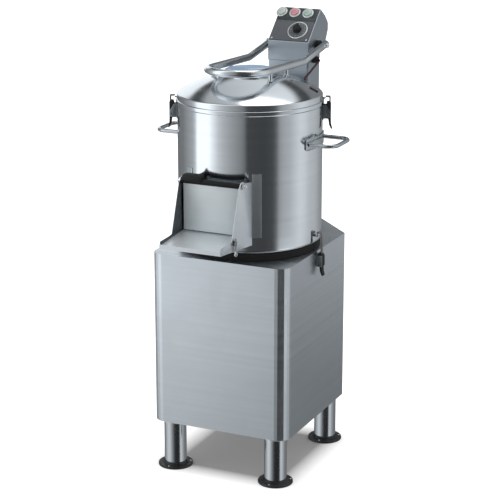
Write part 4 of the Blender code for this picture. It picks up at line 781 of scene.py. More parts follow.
    def finish(self, body: str, slot: str, finish: Finish, replaces: tuple[str, ...] = (),
               place: Vector = DRUM_CENTRE, sharp: float = 35.0) -> bpy.types.Object:
        """Turns the shape into a piece that rides on a body.

        Args:
            body: the body it moves with.
            slot: the name of a material slot; not used.
            finish: its finish.
            replaces: the nodes that it stands for.
            place: where its origin goes.
            sharp: the angle above which an edge stays sharp, in degrees.

        Returns:
            The finished piece.
        """
        bmesh.ops.remove_doubles(self.mesh, verts=self.mesh.verts, dist=MERGE)
        bmesh.ops.translate(self.mesh, vec=place, verts=self.mesh.verts)
        bmesh.ops.recalc_face_normals(self.mesh, faces=self.mesh.faces)
        data = bpy.data.meshes.new(self.name)
        self.mesh.to_mesh(data)
        self.mesh.free()
        for polygon in data.polygons:
            polygon.use_smooth = True
        data.set_sharp_from_angle(angle=math.radians(sharp))
        data.materials.append(finish.material())
        piece = bpy.data.objects.new(self.name, data)
        bpy.context.scene.collection.objects.link(piece)
        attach(piece, body)
        if replaces:
            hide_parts(*replaces)
        LOG.info("made %s, %d faces, riding on %s", self.name, len(data.polygons), body)
        return piece


def arc(centre: Pair, radius: float, start: float, stop: float, steps: int) -> list[Pair]:
    """Points along an arc.

    Args:
        centre: its middle.
        radius: its radius.
        start: its first angle in degrees.
        stop: its last angle in degrees.
        steps: how many parts it has.

    Returns:
        The points, ends included.
    """
    points = []
    for step in range(steps + 1):
        angle = math.radians(start + (stop - start) * step / steps)
        points.append((centre[0] + radius * math.cos(angle), centre[1] + radius * math.sin(angle)))
    return points


def rounded_path(corners: list[Vector], radius: float, steps: int) -> list[Vector]:
    """A path whose inner corners are rounded.

    Args:
        corners: the path's corners.
        radius: the bend's radius.
        steps: parts of each bend.

    Returns:
        The rounded path.
    """
    path = [corners[0]]
    for before, corner, after in zip(corners, corners[1:], corners[2:]):
        back = (before - corner).normalized()
        ahead = (after - corner).normalized()
        half = back.angle(ahead) / 2
        middle = corner + (back + ahead).normalized() * radius / math.sin(half)
        first = corner + back * radius / math.tan(half) - middle
        last = corner + ahead * radius / math.tan(half) - middle
        for step in range(steps + 1):
            path.append(middle + radius * first.slerp(last, step / steps))
    path.append(corners[-1])
    return path


@dataclass
class Cabinet:
    """The steel cabinet with its deck, floor and rear panel."""

    rear_half: float = 0.0597
    rear_y: float = 0.3108
    low: float = 0.1345
    high: float = 0.601
    screw_inset: float = 0.012

    def build(self) -> None:
        """Dresses the sheets and adds the rear panel's screws."""
        CadDresser.dress(CABINET_STEEL, "cabinet_wrap", "cabinet_back")
        CadDresser.dress(DECK_STEEL, "cabinet_deck", "cabinet_floor")
        self.build_screws()

    def build_screws(self) -> None:
        """Pan-head screws round the rear panel."""
        across = self.rear_half - self.screw_inset
        middle = (self.low + self.high) / 2
        turn = Matrix.Rotation(-math.pi / 2, 4, "X")
        places = [Matrix.Translation((side * across, self.rear_y, height)) @ turn
                  for height in (self.low + self.screw_inset, middle, self.high - self.screw_inset)
                  for side in (-1, 1)]
        Workpiece("rear_panel_screws").heads(HeadShape.PAN, 20, *places).finish(
            "machine", "bright_steel", BRIGHT_STEEL, place=Vector())


@dataclass
class Legs:
    """Four tube legs on flanged feet."""

    side_x: float = 0.148
    front_y: float = -0.160
    rear_y: float = 0.180
    radius: float = 0.030
    collar_radius: float = 0.036
    collar_height: float = 0.006
    weld: float = 0.002
    top: float = 0.1342
    foot: float = 0.0043
    flange_radius: float = 0.0465
    flange_height: float = 0.0068
    socket_height: float = 0.013
    socket_wall: float = 0.0036
    bolt_circle: float = 0.0405

    def build(self) -> None:
        """Builds legs and feet."""
        for row, y in (("front", self.front_y), ("rear", self.rear_y)):
            for side, x in (("left", -self.side_x), ("right", self.side_x)):
                place = DRUM_CENTRE + Vector((x, y, 0.0))
                self.build_leg(f"leg_{row}_{side}", place)
                self.build_foot(f"foot_{row}_{side}", place)

    def build_leg(self, node: str, place: Vector) -> None:
        """One tube with its collar, welded all round.

        Args:
            node: the node that it stands for.
            place: the leg's axis on the floor.
        """
        low = self.top - self.collar_height
        profile = [(0.0, self.top), (self.collar_radius - 0.0006, self.top)]
        profile += arc((self.collar_radius - 0.0008, self.top - 0.0008), 0.0008, 60, 0, 3)
        profile += arc((self.collar_radius - 0.0008, low + 0.0008), 0.0008, 0, -90, 3)
        profile += arc((self.radius + self.weld, low - self.weld), self.weld, 90, 180, 5)
        profile += [(self.radius, low - self.weld - 0.001), (self.radius, self.foot),
                    (0.0, self.foot)]
        Workpiece(f"{node}_tube").turned(profile, 64).finish(
            "machine", "polished_steel", LEG_STEEL, (node,), place)

    def build_foot(self, node: str, place: Vector) -> None:
        """One flanged foot with its socket and fixing screws.

        Args:
            node: the node that it stands for.
            place: the leg's axis on the floor.
        """
        bore = self.radius + 0.0004
        outer = bore + self.socket_wall
        profile = [(0.0, 0.004), (bore, 0.004), (bore, self.socket_height - 0.0006),
                   (bore + 0.0006, self.socket_height)]
        profile += arc((outer - 0.001, self.socket_height - 0.001), 0.001, 90, 0, 3)
        profile += arc((outer + 0.002, self.flange_height + 0.002), 0.002, 180, 270, 4)
        profile += arc((self.flange_radius - 0.002, self.flange_height - 0.002), 0.002, 90, 0, 4)
        profile += [(self.flange_radius, 0.0008), (self.flange_radius - 0.0008, 0.0), (0.0, 0.0)]
        foot = Workpiece(f"{node}_flange").turned(profile, 64)
        foot.finish("machine", "black_rubber", FOOT_BLACK, (node,), place)
        spots = [Matrix.Translation((x, y, self.flange_height))
                 for x, y in arc((0.0, 0.0), self.bolt_circle, 30, 270, 2)]
        Workpiece(f"{node}_screws").heads(HeadShape.FOOT, 14, *spots).finish(
            "machine", "bright_steel", BRIGHT_STEEL, place=place)


@dataclass
class Drum:
    """The drum with its floor, liner, base ring, mouth flanges and water lines."""

    radius: float = 0.190
    wall: float = 0.002
    low: float = 0.622
    high: float = 0.992
    curl: float = 0.006
    bead_radius: float = 0.193
    bead_height: float = 0.0125
    bead_round: float = 0.0028
    mouth_half: float = 0.070
    mouth_low: float = 0.688
    mouth_high: float = 0.785
    keeper_low: float = 0.6405
    keeper_height: float = 0.008
    keeper_width: float = 0.020
    keeper_reach: float = 0.1983
    ring_radius: float = 0.187
    ring_inner: float = 0.150
    ring_low: float = 0.6013
    ring_high: float = 0.6217
    flange_start: float = 26.4
    flange_stop: float = 33.6
    flange_low: float = 0.665
    flange_high: float = 0.832
    flange_sheet: float = 0.0015
    steps: int = 180

    def build(self) -> None:
        """Builds the shell and the base ring, and dresses the rest."""
        self.build_shell()
        self.build_ring()
        self.build_seam()
        self.build_flanges()
        CadDresser.dress(DECK_STEEL, "drum_floor", "drain_pipe")
        CadDresser.dress(ABRASIVE_GREY, "abrasive_liner")
        CadDresser.dress(BRIGHT_STEEL, "water_inlet")

    def build_shell(self) -> None:
        """The rolled shell with its bead, its mouth and the clamp keepers."""
        inner = self.radius - self.wall
        bead = self.bead_radius - self.bead_round
        bead_low = self.high - self.bead_height
        profile = [(inner, self.high)]
        profile += arc((bead, self.high - self.bead_round), self.bead_round, 90, 0, 5)
        profile += arc((bead, bead_low + self.bead_round), self.bead_round, 0, -80, 4)
        profile += arc((self.radius + 0.0012, bead_low - 0.0006), 0.0012, 90, 180, 3)
        profile += [(self.radius, bead_low - 0.003), (self.radius, self.low + self.curl + 0.002)]
        profile += arc((self.radius - self.curl, self.low + self.curl), self.curl, 0, -90, 6)
        profile += arc((self.radius - self.curl, self.low + self.curl), self.curl - self.wall,
                       -90, 0, 4)
        profile += [(inner, self.low + self.curl + 0.002), (inner, self.high - 0.002)]
        shell = Workpiece("drum_body").turned(profile, self.steps, closed=True)
        self.cut_mouth(shell)
        keeper = self.keeper_reach - inner
        level = self.keeper_low + self.keeper_height / 2
        for side in (-1, 1):
            shell.block((keeper, self.keeper_width, self.keeper_height),
                        (side * (inner + keeper / 2), 0.0, level), 0.0012)
        shell.finish("machine", "polished_steel", DRUM_STEEL, ("drum_shell",))

    def cut_mouth(self, shell: Workpiece) -> None:
        """Cuts the discharge mouth through both faces of the wall.

        Args:
            shell: the drum's wall.
        """
        mesh = shell.mesh
        reach = self.mouth_half * 1.2
        sides = ((1.0, 0.0, 0.0), self.mouth_half), ((-1.0, 0.0, 0.0), self.mouth_half)
        levels = ((0.0, 0.0, 1.0), self.mouth_high), ((0.0, 0.0, -1.0), -self.mouth_low)
        for way, distance in (*levels, *sides):
            near = [face for face in mesh.faces
                    if face.calc_center_median().y < 0.0
                    and abs(face.calc_center_median().x) < reach
                    and self.is_beside(face.calc_center_median().z, way)]
            edges = {edge for face in near for edge in face.edges}
            verts = {vert for face in near for vert in face.verts}
            normal = Vector(way)
            bmesh.ops.bisect_plane(mesh, geom=[*near, *edges, *verts], dist=MERGE,
                                   plane_co=normal * distance, plane_no=normal)
        gone = [face for face in mesh.faces
                if face.calc_center_median().y < 0.0
                and abs(face.calc_center_median().x) < self.mouth_half
                and self.mouth_low < face.calc_center_median().z < self.mouth_high]
        bmesh.ops.delete(mesh, geom=gone, context="FACES")
        rim = [edge for edge in mesh.edges if edge.is_boundary]
        bmesh.ops.bridge_loops(mesh, edges=rim)

    def is_beside(self, height: float, way: Point) -> bool:
        """Whether a face is cut by a plane: level planes cut the wall, upright ones its middle.

        Args:
            height: height of the face's middle.
            way: the way the plane faces.

        Returns:
            Whether the plane cuts it.
        """
        if way[2]:
            return self.low + self.curl < height < self.high - self.bead_height
        return self.mouth_low < height < self.mouth_high

    def build_ring(self) -> None:
        """The black ring between drum and deck."""
        edge = 0.0012
        profile = [(self.ring_inner, self.ring_high)]
        profile += arc((self.ring_radius - edge, self.ring_high - edge), edge, 90, 0, 3)
        profile += arc((self.ring_radius - edge, self.ring_low + edge), edge, 0, -90, 3)
        profile += [(self.ring_inner, self.ring_low)]
        Workpiece("drum_seat_ring").turned(profile, self.steps, closed=True).finish(
            "machine", "black_rubber", BLACK_RUBBER_AND_SHADE, ("drum_base_ring",))

    def build_seam(self) -> None:
        """The seam where the sheet of the drum is welded, at the rear."""
        seam = Workpiece("drum_seam").block((0.0026, 0.0012, self.high - self.low - 0.032),
                                            (0.0, self.radius, (self.high + self.low) / 2 - 0.002),
                                            0.0004)
        seam.finish("machine", "polished_steel", DRUM_STEEL)

    def build_flanges(self) -> None:
        """The curved flange beside each cheek of the chute."""
        flanges = Workpiece("chute_flanges")
        for side in (-1, 1):
            ends = sorted(-90.0 + side * swing for swing in (self.flange_start, self.flange_stop))
            flange = Workpiece("flange").shell_part(
                self.radius + 0.0001, self.radius + self.flange_sheet, self.flange_low,
                self.flange_high, *ends, 8)
            flanges.add(flange.round_sharp(0.0005, 2, 60.0))
        flanges.finish("machine", "polished_steel", FLANGE_STEEL)


@dataclass
class Drive:
    """The disc, its shaft and pulleys, and the motor."""

    def build(self) -> None:
        """Dresses the drive."""
        CadDresser.dress(ABRASIVE_GREY, "abrasive_disc")
        CadDresser.dress(BRIGHT_STEEL, "drive_shaft")
        CadDresser.dress(GREY_IRON, "main_pulley", "motor_pulley", "bearing_housing")
        CadDresser.dress(MOTOR_PAINT, "motor_body")
        CadDresser.dress(BLACK_RUBBER_AND_SHADE, "drive_belt")
        CadDresser.dress(BLACK_PLASTIC, "mains_gland")


@dataclass
class Chute:
    """The discharge chute with its door."""

    edge: float = 0.0006
    rod_radius: float = 0.004
    rod_y: float = -0.229
    rod_z: float = 0.813
    rod_end: float = 0.0968
    nut_radius: float = 0.0072
    nut_low: float = 0.0853
    nut_length: float = 0.006
    nut_sides: int = 6
    # Height above which the door's top roll is painted black as shade.
    roll_low: float = 0.8066
    flat_limit: float = 25.0

    def build(self) -> None:
        """Builds the chute's sheets with rounded edges, the door and its rod; the cheeks' inner
        faces and the door's top roll get painted shade.
        """
        for side in ("left", "right"):
            cheek = Workpiece(f"chute_cheek_{side}").copied(f"chute_side_{side}", self.edge).finish(
                "machine", "brushed_steel", CHUTE_STEEL, (f"chute_side_{side}",),
                sharp=self.flat_limit)
            inward = 1.0 if side == "left" else -1.0
            # Each cheek's inner face gets the dark steel: painted shade standing in for the dark
            # reflection inside the chute.
            self.paint_faces(cheek, CHEEK_PAINTED_SHADE, lambda face: face.normal.x * inward > 0.9)
        tray = Workpiece("chute_floor").copied("chute_tray", self.edge).finish(
            "machine", "brushed_steel", TRAY_STEEL, ("chute_tray",), sharp=self.flat_limit)
        self.paint_faces(tray, CHUTE_STEEL, lambda face: face.normal.z < 0.9)
        door = Workpiece("door_pan").copied("chute_door", self.edge).finish(
            "door", "brushed_steel", DOOR_STEEL, ("chute_door",))
        # The door's top roll is painted black: painted shade for the dark gap under the hinge rod,
        # not a rubber sleeve.
        self.paint_faces(door, BLACK_RUBBER_AND_SHADE, lambda face: face.center.z > self.roll_low)
        grip = Workpiece("door_grip").copied("door_handle", 0.0012).finish(
            "door", "black_plastic", BLACK_PLASTIC, ("door_handle",))
        grip.visible_glossy = False
        self.build_rod()
        CadDresser.dress(BRIGHT_STEEL, "door_catch")

    @staticmethod
    def paint_faces(piece: bpy.types.Object, finish: Finish,
                    chosen: Callable[[bpy.types.MeshPolygon], bool]) -> None:
        """Gives some faces of a piece another finish.

        Args:
            piece: the finished piece.
            finish: the finish of those faces.
            chosen: whether a face is one of them.
        """
        piece.data.materials.append(finish.material())
        for polygon in piece.data.polygons:
            if chosen(polygon):
                polygon.material_index = 1

    def build_rod(self) -> None:
        """The hinge rod with a hexagon nut at each end."""
        rod = Workpiece("door_hinge_rod").rod(self.rod_radius - 0.0002, 2 * self.rod_end, Along.X,
                                              32, 0.0008)
        for side in (-1, 1):
            middle = side * (self.nut_low + self.nut_length / 2)
            nut = Workpiece("nut").rod(self.nut_radius, self.nut_length, Along.X, self.nut_sides,
                                       0.0007)
            rod.add(nut.moved(Matrix.Translation((middle, 0.0, 0.0))))
        rod.moved(Matrix.Translation((0.0, self.rod_y, self.rod_z)))
        rod.finish("machine", "bright_steel", BRIGHT_STEEL, ("door_rod",))


@dataclass
class Lid:
    """The domed lid with its window and tube arm."""

    radius: float = 0.190
    apex: float = 1.0635
    rise: float = 0.0571
    edge_round: float = 0.006
    sheet: float = 0.0015
    seat: float = 0.9923
    hole: float = 0.055
    window_radius: float = 0.0625
    window_top: float = 1.0685
    window_thickness: float = 0.004
    collar_radius: float = 0.066
    collar_top: float = 1.0668
    tube_radius: float = 0.010
    half_span: float = 0.080
    arc_y: float = -0.067
    axis_z: float = 1.0738
    slope: float = 0.041
    bend_y: float = 0.165
    bend_radius: float = 0.060
    hinge_y: float = 0.308
    hinge_z: float = 1.090
    overhang: float = 0.012
    stud_radius: float = 0.005
    stud_rows: Pair = (-0.050, 0.052)
    screw_heading: float = 2.0
    axle_radius: float = 0.005
    bush_radius: float = 0.0115
    box_side: float = 0.0603
    play: float = 0.0003
    steps: int = 180

    @property
    def sphere(self) -> float:
        """Radius of the dome."""
        return (self.radius ** 2 + self.rise ** 2) / (2 * self.rise)

    def build(self) -> None:
        """Builds dome, window and arm, and dresses the rest."""
        self.build_dome()
        self.build_window()
        self.build_screw()
        self.build_arm()
        self.build_studs()
        CadDresser.dress(BLACK_RUBBER_AND_SHADE, "lid_gasket")
        self.build_axle()

    def skin(self, inset: float, first: float, dome_steps: int, edge_steps: int) -> list[Pair]:
        """One face of the lid from a radius on its dome down its skirt.

        Args:
            inset: how far it is drawn in.
            first: the radius that it starts at.
            dome_steps: parts of the dome.
            edge_steps: parts of the rounded edge.

        Returns:
            Pairs of radius and height.
        """
        centre_z = self.apex - self.sphere
        edge_r = self.radius - self.edge_round
        edge_z = centre_z + math.sqrt((self.sphere - self.edge_round) ** 2 - edge_r ** 2)
        turn = math.degrees(math.atan2(edge_z - centre_z, edge_r))
        start = math.degrees(math.acos(first / (self.sphere - inset)))
        dome = arc((0.0, centre_z), self.sphere - inset, start, turn, dome_steps)
        edge = arc((edge_r, edge_z), self.edge_round - inset, turn, 0, edge_steps)[1:]
        return dome + edge + [(self.radius - inset, self.seat)]

    def build_dome(self) -> None:
        """The pressed dome with the window's collar."""
        ledge = self.window_top - self.window_thickness - 0.0003
        rim = self.window_radius + 0.0003
        edge = 0.0012
        profile = [(rim, self.collar_top - 0.0004), (rim + 0.0004, self.collar_top)]
        profile += arc((self.collar_radius - edge, self.collar_top - edge), edge, 90, 0, 4)
        profile += self.skin(0.0, self.collar_radius, 28, 8)
        profile += list(reversed(self.skin(self.sheet, self.hole, 20, 6)))
        profile += [(self.hole, ledge), (rim, ledge)]
        Workpiece("lid_shell").turned(profile, self.steps, closed=True).finish(
            "lid", "polished_steel", LID_STEEL, ("lid_dome",))

    def build_window(self) -> None:
        """The tinted window with its rounded edge and a moulded ring."""
        low = self.window_top - self.window_thickness
        high = self.window_top
        profile = [(0.0, high - 0.0006), (self.window_radius - 0.012, high - 0.0006)]
        profile += [(self.window_radius - 0.0112, high - 0.0001),
                    (self.window_radius - 0.0104, high)]
        profile += arc((self.window_radius - 0.0014, high - 0.0014), 0.0014, 90, 0, 4)
        profile += [(self.window_radius, low), (0.0, low)]
        Workpiece("lid_pane").turned(profile, self.steps).finish(
            "lid", "window_blue", WINDOW_BLUE, ("lid_window",))

    def build_screw(self) -> None:
        """The dark screw that holds the window down at its front."""
        spread = self.window_radius - 0.0055
        heading = math.radians(self.screw_heading)
        place = (spread * math.sin(heading), -spread * math.cos(heading), self.window_top - 0.0004)
        Workpiece("window_screw").heads(HeadShape.WINDOW, 24, Matrix.Translation(place)).finish(
            "lid", "black_plastic", BLACK_PLASTIC)

    def height(self, y: float) -> float:
        """Height of the arm's axis at a place along it."""
        return self.axis_z - self.slope * y

    def build_arm(self) -> None:
        """The bent tube, from one hinge end round the front to the other."""
        bend_z = self.height(self.bend_y)
        rise = (self.hinge_z - bend_z) / (self.hinge_y - self.bend_y)
        end = Vector((-self.half_span, self.hinge_y + self.overhang,
                      self.hinge_z + rise * self.overhang))
        corner = Vector((-self.half_span, self.bend_y, bend_z))
        front = Vector((-self.half_span, self.arc_y, self.height(self.arc_y)))
        side = rounded_path([front, corner, end], self.bend_radius, 10)
        loop = [Vector((x, y, self.height(y)))
                for x, y in arc((0.0, self.arc_y), self.half_span, 180, 360, 48)[1:-1]]
        other = [Vector((-point.x, point.y, point.z)) for point in side]
        path = [*reversed(side), *loop, *other]
        arm = Workpiece("lid_arm_tube").tube(path, self.tube_radius, 28)
        arm.round_sharp(0.0008, 2, 60.0)
        arm.finish("lid", "polished_steel", TUBE_STEEL, ("lid_arm",))

    def build_studs(self) -> None:
        """The four studs between arm and dome, each with a foot and weld beads."""
        studs = Workpiece("lid_arm_studs")
        for y in self.stud_rows:
            reach = math.hypot(self.half_span, y)
            low = self.apex - self.sphere + math.sqrt(self.sphere ** 2 - reach ** 2) - 0.0006
            high = self.height(y)
            radius = self.stud_radius
            profile = [(0.0, high - low)]
            profile += [(radius, high - low - 0.0035)]
            profile += arc((radius + 0.0022, 0.0036), 0.0022, 180, 270, 4)
            profile += [(radius + 0.0034, 0.0006), (radius + 0.0034, 0.0), (0.0, 0.0)]
            for side in (-1, 1):
                stud = Workpiece("stud").turned(profile, 28)
                studs.add(stud.moved(Matrix.Translation((side * self.half_span, y, low))))
        studs.finish("lid", "polished_steel", TUBE_STEEL)

    def build_axle(self) -> None:
        """The hinge axle with its domed heads and the bushes between box and arm."""
        end = self.half_span + self.tube_radius + self.play
        axle = Workpiece("lid_axle").rod(self.axle_radius, 2 * end, Along.X, 32, 0.0)
        ends = [Matrix.Rotation(side * math.pi / 2, 4, "Y") @ Matrix.Translation((0.0, 0.0, end))
                for side in (-1, 1)]
        axle.heads(HeadShape.AXLE, 32, *ends)
        axle.moved(Matrix.Translation((0.0, self.hinge_y, self.hinge_z)))
        axle.finish("machine", "bright_steel", BRIGHT_STEEL, ("lid_pivot",))
        bushes = Workpiece("lid_axle_bushes")
        low = self.box_side
        high = self.half_span - self.tube_radius - self.play
        for side in (-1, 1):
            bush = Workpiece("bush").rod(self.bush_radius, high - low, Along.X, 32, 0.001)
            bushes.add(bush.moved(Matrix.Translation((side * (high + low) / 2, self.hinge_y,
                                                      self.hinge_z))))
        bushes.finish("machine", "black_plastic", BLACK_PLASTIC)


@dataclass(frozen=True)
class PushButton:
    """One push-button: its body and node, its place across the panel and its finish."""

    body: str
    node: str
    x: float
    slot: str
    finish: Finish


@dataclass
class Column:
    """The post with the control box, its buttons and its timer."""

    box_front: float = 0.244
    panel_foot: float = 1.103
    tilt: float = 43.3
    seat: float = 0.0021
    half_width: float = 0.057
    strip_low: float = 0.072
    strip_high: float = 0.115
    strip_thickness: float = 0.0009
    button_row: float = 0.097
    button_radius: float = 0.0115
    button_low: float = 0.0053
    button_top: float = 0.0104
    bezel_radius: float = 0.016
    bezel_height: float = 0.0042
    timer_x: float = 0.017
    timer_row: float = 0.038
    ring_radius: float = 0.0285
    ring_bore: float = 0.0253
    ring_height: float = 0.0029
    skirt_radius: float = 0.0249
    skirt_height: float = 0.0034
    grip_radius: float = 0.0108
    grip_height: float = 0.0128
    tick_count: int = 16
    screw_inset: float = 0.006
    screw_row: float = 0.008
    buttons: tuple[PushButton, ...] = (
        PushButton("start", "button_start", -0.0482, "clear_plastic", CLEAR_BUTTON),
        PushButton("stop", "button_stop", -0.0094, "red_plastic", RED_BUTTON),
        PushButton("light", "button_light", 0.0294, "green_plastic", GREEN_BUTTON))

    @property
    def face(self) -> Matrix:
        """The panel's plane, with Y up its slope and Z out of it."""
        return Matrix.Translation((0.0, self.box_front, self.panel_foot)) @ Matrix.Rotation(
            math.radians(self.tilt), 4, "X")

    def build(self) -> None:
        """Builds the controls and dresses post and box."""
        CadDresser.dress(POST_STEEL, "column_post")
        CadDresser.dress(BOX_STEEL, "control_box")
        Workpiece("control_face").copied("control_panel", 0.0005).finish(
            "machine", "panel_grey", PANEL_GREY, ("control_panel",))
        self.build_strip()
        for button in self.buttons:
            self.build_button(button)
        self.build_timer()
        self.build_knob()
        self.build_screws()

    def build_strip(self) -> None:
        """The dark strip behind the buttons and their three collars."""
        low = self.seat + self.strip_thickness
        high = self.seat + self.bezel_height
        bore = self.button_radius + 0.0004
        wide = self.half_width
        first, *others = self.buttons
        notch = math.degrees(math.acos((-wide - first.x) / bore))
        outline = [(-wide, self.strip_low), (wide, self.strip_low), (wide, self.strip_high),
                   (-wide, self.strip_high)]
        outline += arc((first.x, self.button_row), bore, notch, -notch, 40)
        holes = [arc((button.x, self.button_row), bore, 0, 360, 48)[:-1] for button in others]
        strip = Workpiece("button_backing").bored_plate([outline, *holes], self.seat, low)
        strip.round_sharp(0.0002, 2, 60.0)
        strip.moved(self.face).finish("machine", "panel_grey", STRIP_GREY, ("button_strip",))
        collars = Workpiece("button_collars")
        profile = [(bore, low), (bore, high - 0.0004), (bore + 0.0004, high)]
        profile += arc((self.bezel_radius - 0.0016, high - 0.0016), 0.0016, 90, 0, 5)
        profile += [(self.bezel_radius, low)]
        for button in self.buttons:
            collar = Workpiece("collar").turned(profile, 48, closed=True)
            collars.add(collar.moved(Matrix.Translation((button.x, self.button_row, 0.0))))
        collars.moved(self.face).finish("machine", "bright_steel", BEZEL_STEEL)

    def build_button(self, button: PushButton) -> None:
        """One lens with a shallow dome.

        Args:
            button: which button to build.
        """
        radius = self.button_radius
        high = self.button_top
        profile = [(0.0, high), (radius * 0.35, high - 0.0001), (radius * 0.62, high - 0.0005)]
        profile += arc((radius - 0.0016, high - 0.0028), 0.0016, 80, 0, 5)
        profile += [(radius, self.button_low), (0.0, self.button_low)]
        lens = Workpiece(f"{button.body}_lens").turned(profile, 48)
        lens.moved(self.face @ Matrix.Translation((button.x, self.button_row, 0.0)))
        lens.finish(button.body, button.slot, button.finish, (button.node,))

    def build_timer(self) -> None:
        """The timer's bright ring."""
        high = self.seat + self.ring_height
        profile = [(self.ring_bore, self.seat), (self.ring_bore, high - 0.0006),
                   (self.ring_bore + 0.0006, high)]
        profile += arc((self.ring_radius - 0.0014, high - 0.0014), 0.0014, 90, 0, 5)
        profile += [(self.ring_radius, self.seat)]
        ring = Workpiece("timer_bezel").turned(profile, 96, closed=True)
        ring.moved(self.face @ Matrix.Translation((self.timer_x, self.timer_row, 0.0)))
        ring.finish("machine", "bright_steel", BEZEL_STEEL, ("timer_ring",))

    def build_knob(self) -> None:
        """The dial plate with its ticks and the grip with its pointer bar."""
        place = self.face @ Matrix.Translation((self.timer_x, self.timer_row, 0.0))
        high = self.seat + self.skirt_height
        skirt = [(0.0, high), (self.skirt_radius - 0.0012, high)]
        skirt += [(self.skirt_radius - 0.0003, high - 0.0004), (self.skirt_radius, high - 0.001),
                  (self.skirt_radius, self.seat + 0.0004), (0.0, self.seat + 0.0004)]
        dial = Workpiece("timer_dial").turned(skirt, 96)
        dial.moved(place).finish("timer", "black_plastic", DIAL_BLACK, ("timer_knob",))
        top = high + self.grip_height
        grip = [(0.0, top), (self.grip_radius - 0.0022, top)]
        grip += arc((self.grip_radius - 0.0022, top - 0.0016), 0.0016, 80, 0, 4)
        grip += [(self.grip_radius, high + 0.0016), (self.grip_radius + 0.0012, high),
                 (0.0, high)]
        knob = Workpiece("timer_grip").turned(grip, 48)
        knob.block((0.0055, 2 * self.grip_radius + 0.003, self.grip_height * 0.5),
                   (0.0, 0.0, top - self.grip_height * 0.1), 0.0012)
        knob.moved(place).finish("timer", "black_plastic", BLACK_PLASTIC)
        ticks = Workpiece("timer_ticks")
        for number in range(self.tick_count):
            turn = Matrix.Rotation(FULL_TURN * number / self.tick_count, 4, "Z")
            length = 0.0045 if number % 4 == 0 else 0.0026
            tick = Workpiece("tick").block((0.0007, length, 0.0003),
                                           (0.0, self.skirt_radius - 0.0022 - length / 2, high),
                                           0.0001, 1)
            ticks.add(tick.moved(turn))
        ticks.moved(place).finish("timer", "bright_steel", TICK_WHITE)

    def build_screws(self) -> None:
        """The panel's two small screws."""
        across = self.half_width - self.screw_inset
        places = [Matrix.Translation((x, self.screw_row, self.seat - 0.0003))
                  for x in (-across, across)]
        Workpiece("panel_screws").heads(HeadShape.PANEL, 16, *places).moved(self.face).finish(
            "machine", "bright_steel", BRIGHT_STEEL)


@dataclass(frozen=True)
class SwingLatch:
    """Where a swing latch sits and how long its parts are."""

    name: str
    body: str
    angle: float
    pivot: float
    height: float
    hook_rise: float
    hook_reach: float
    grip_rise: float
    tail: float


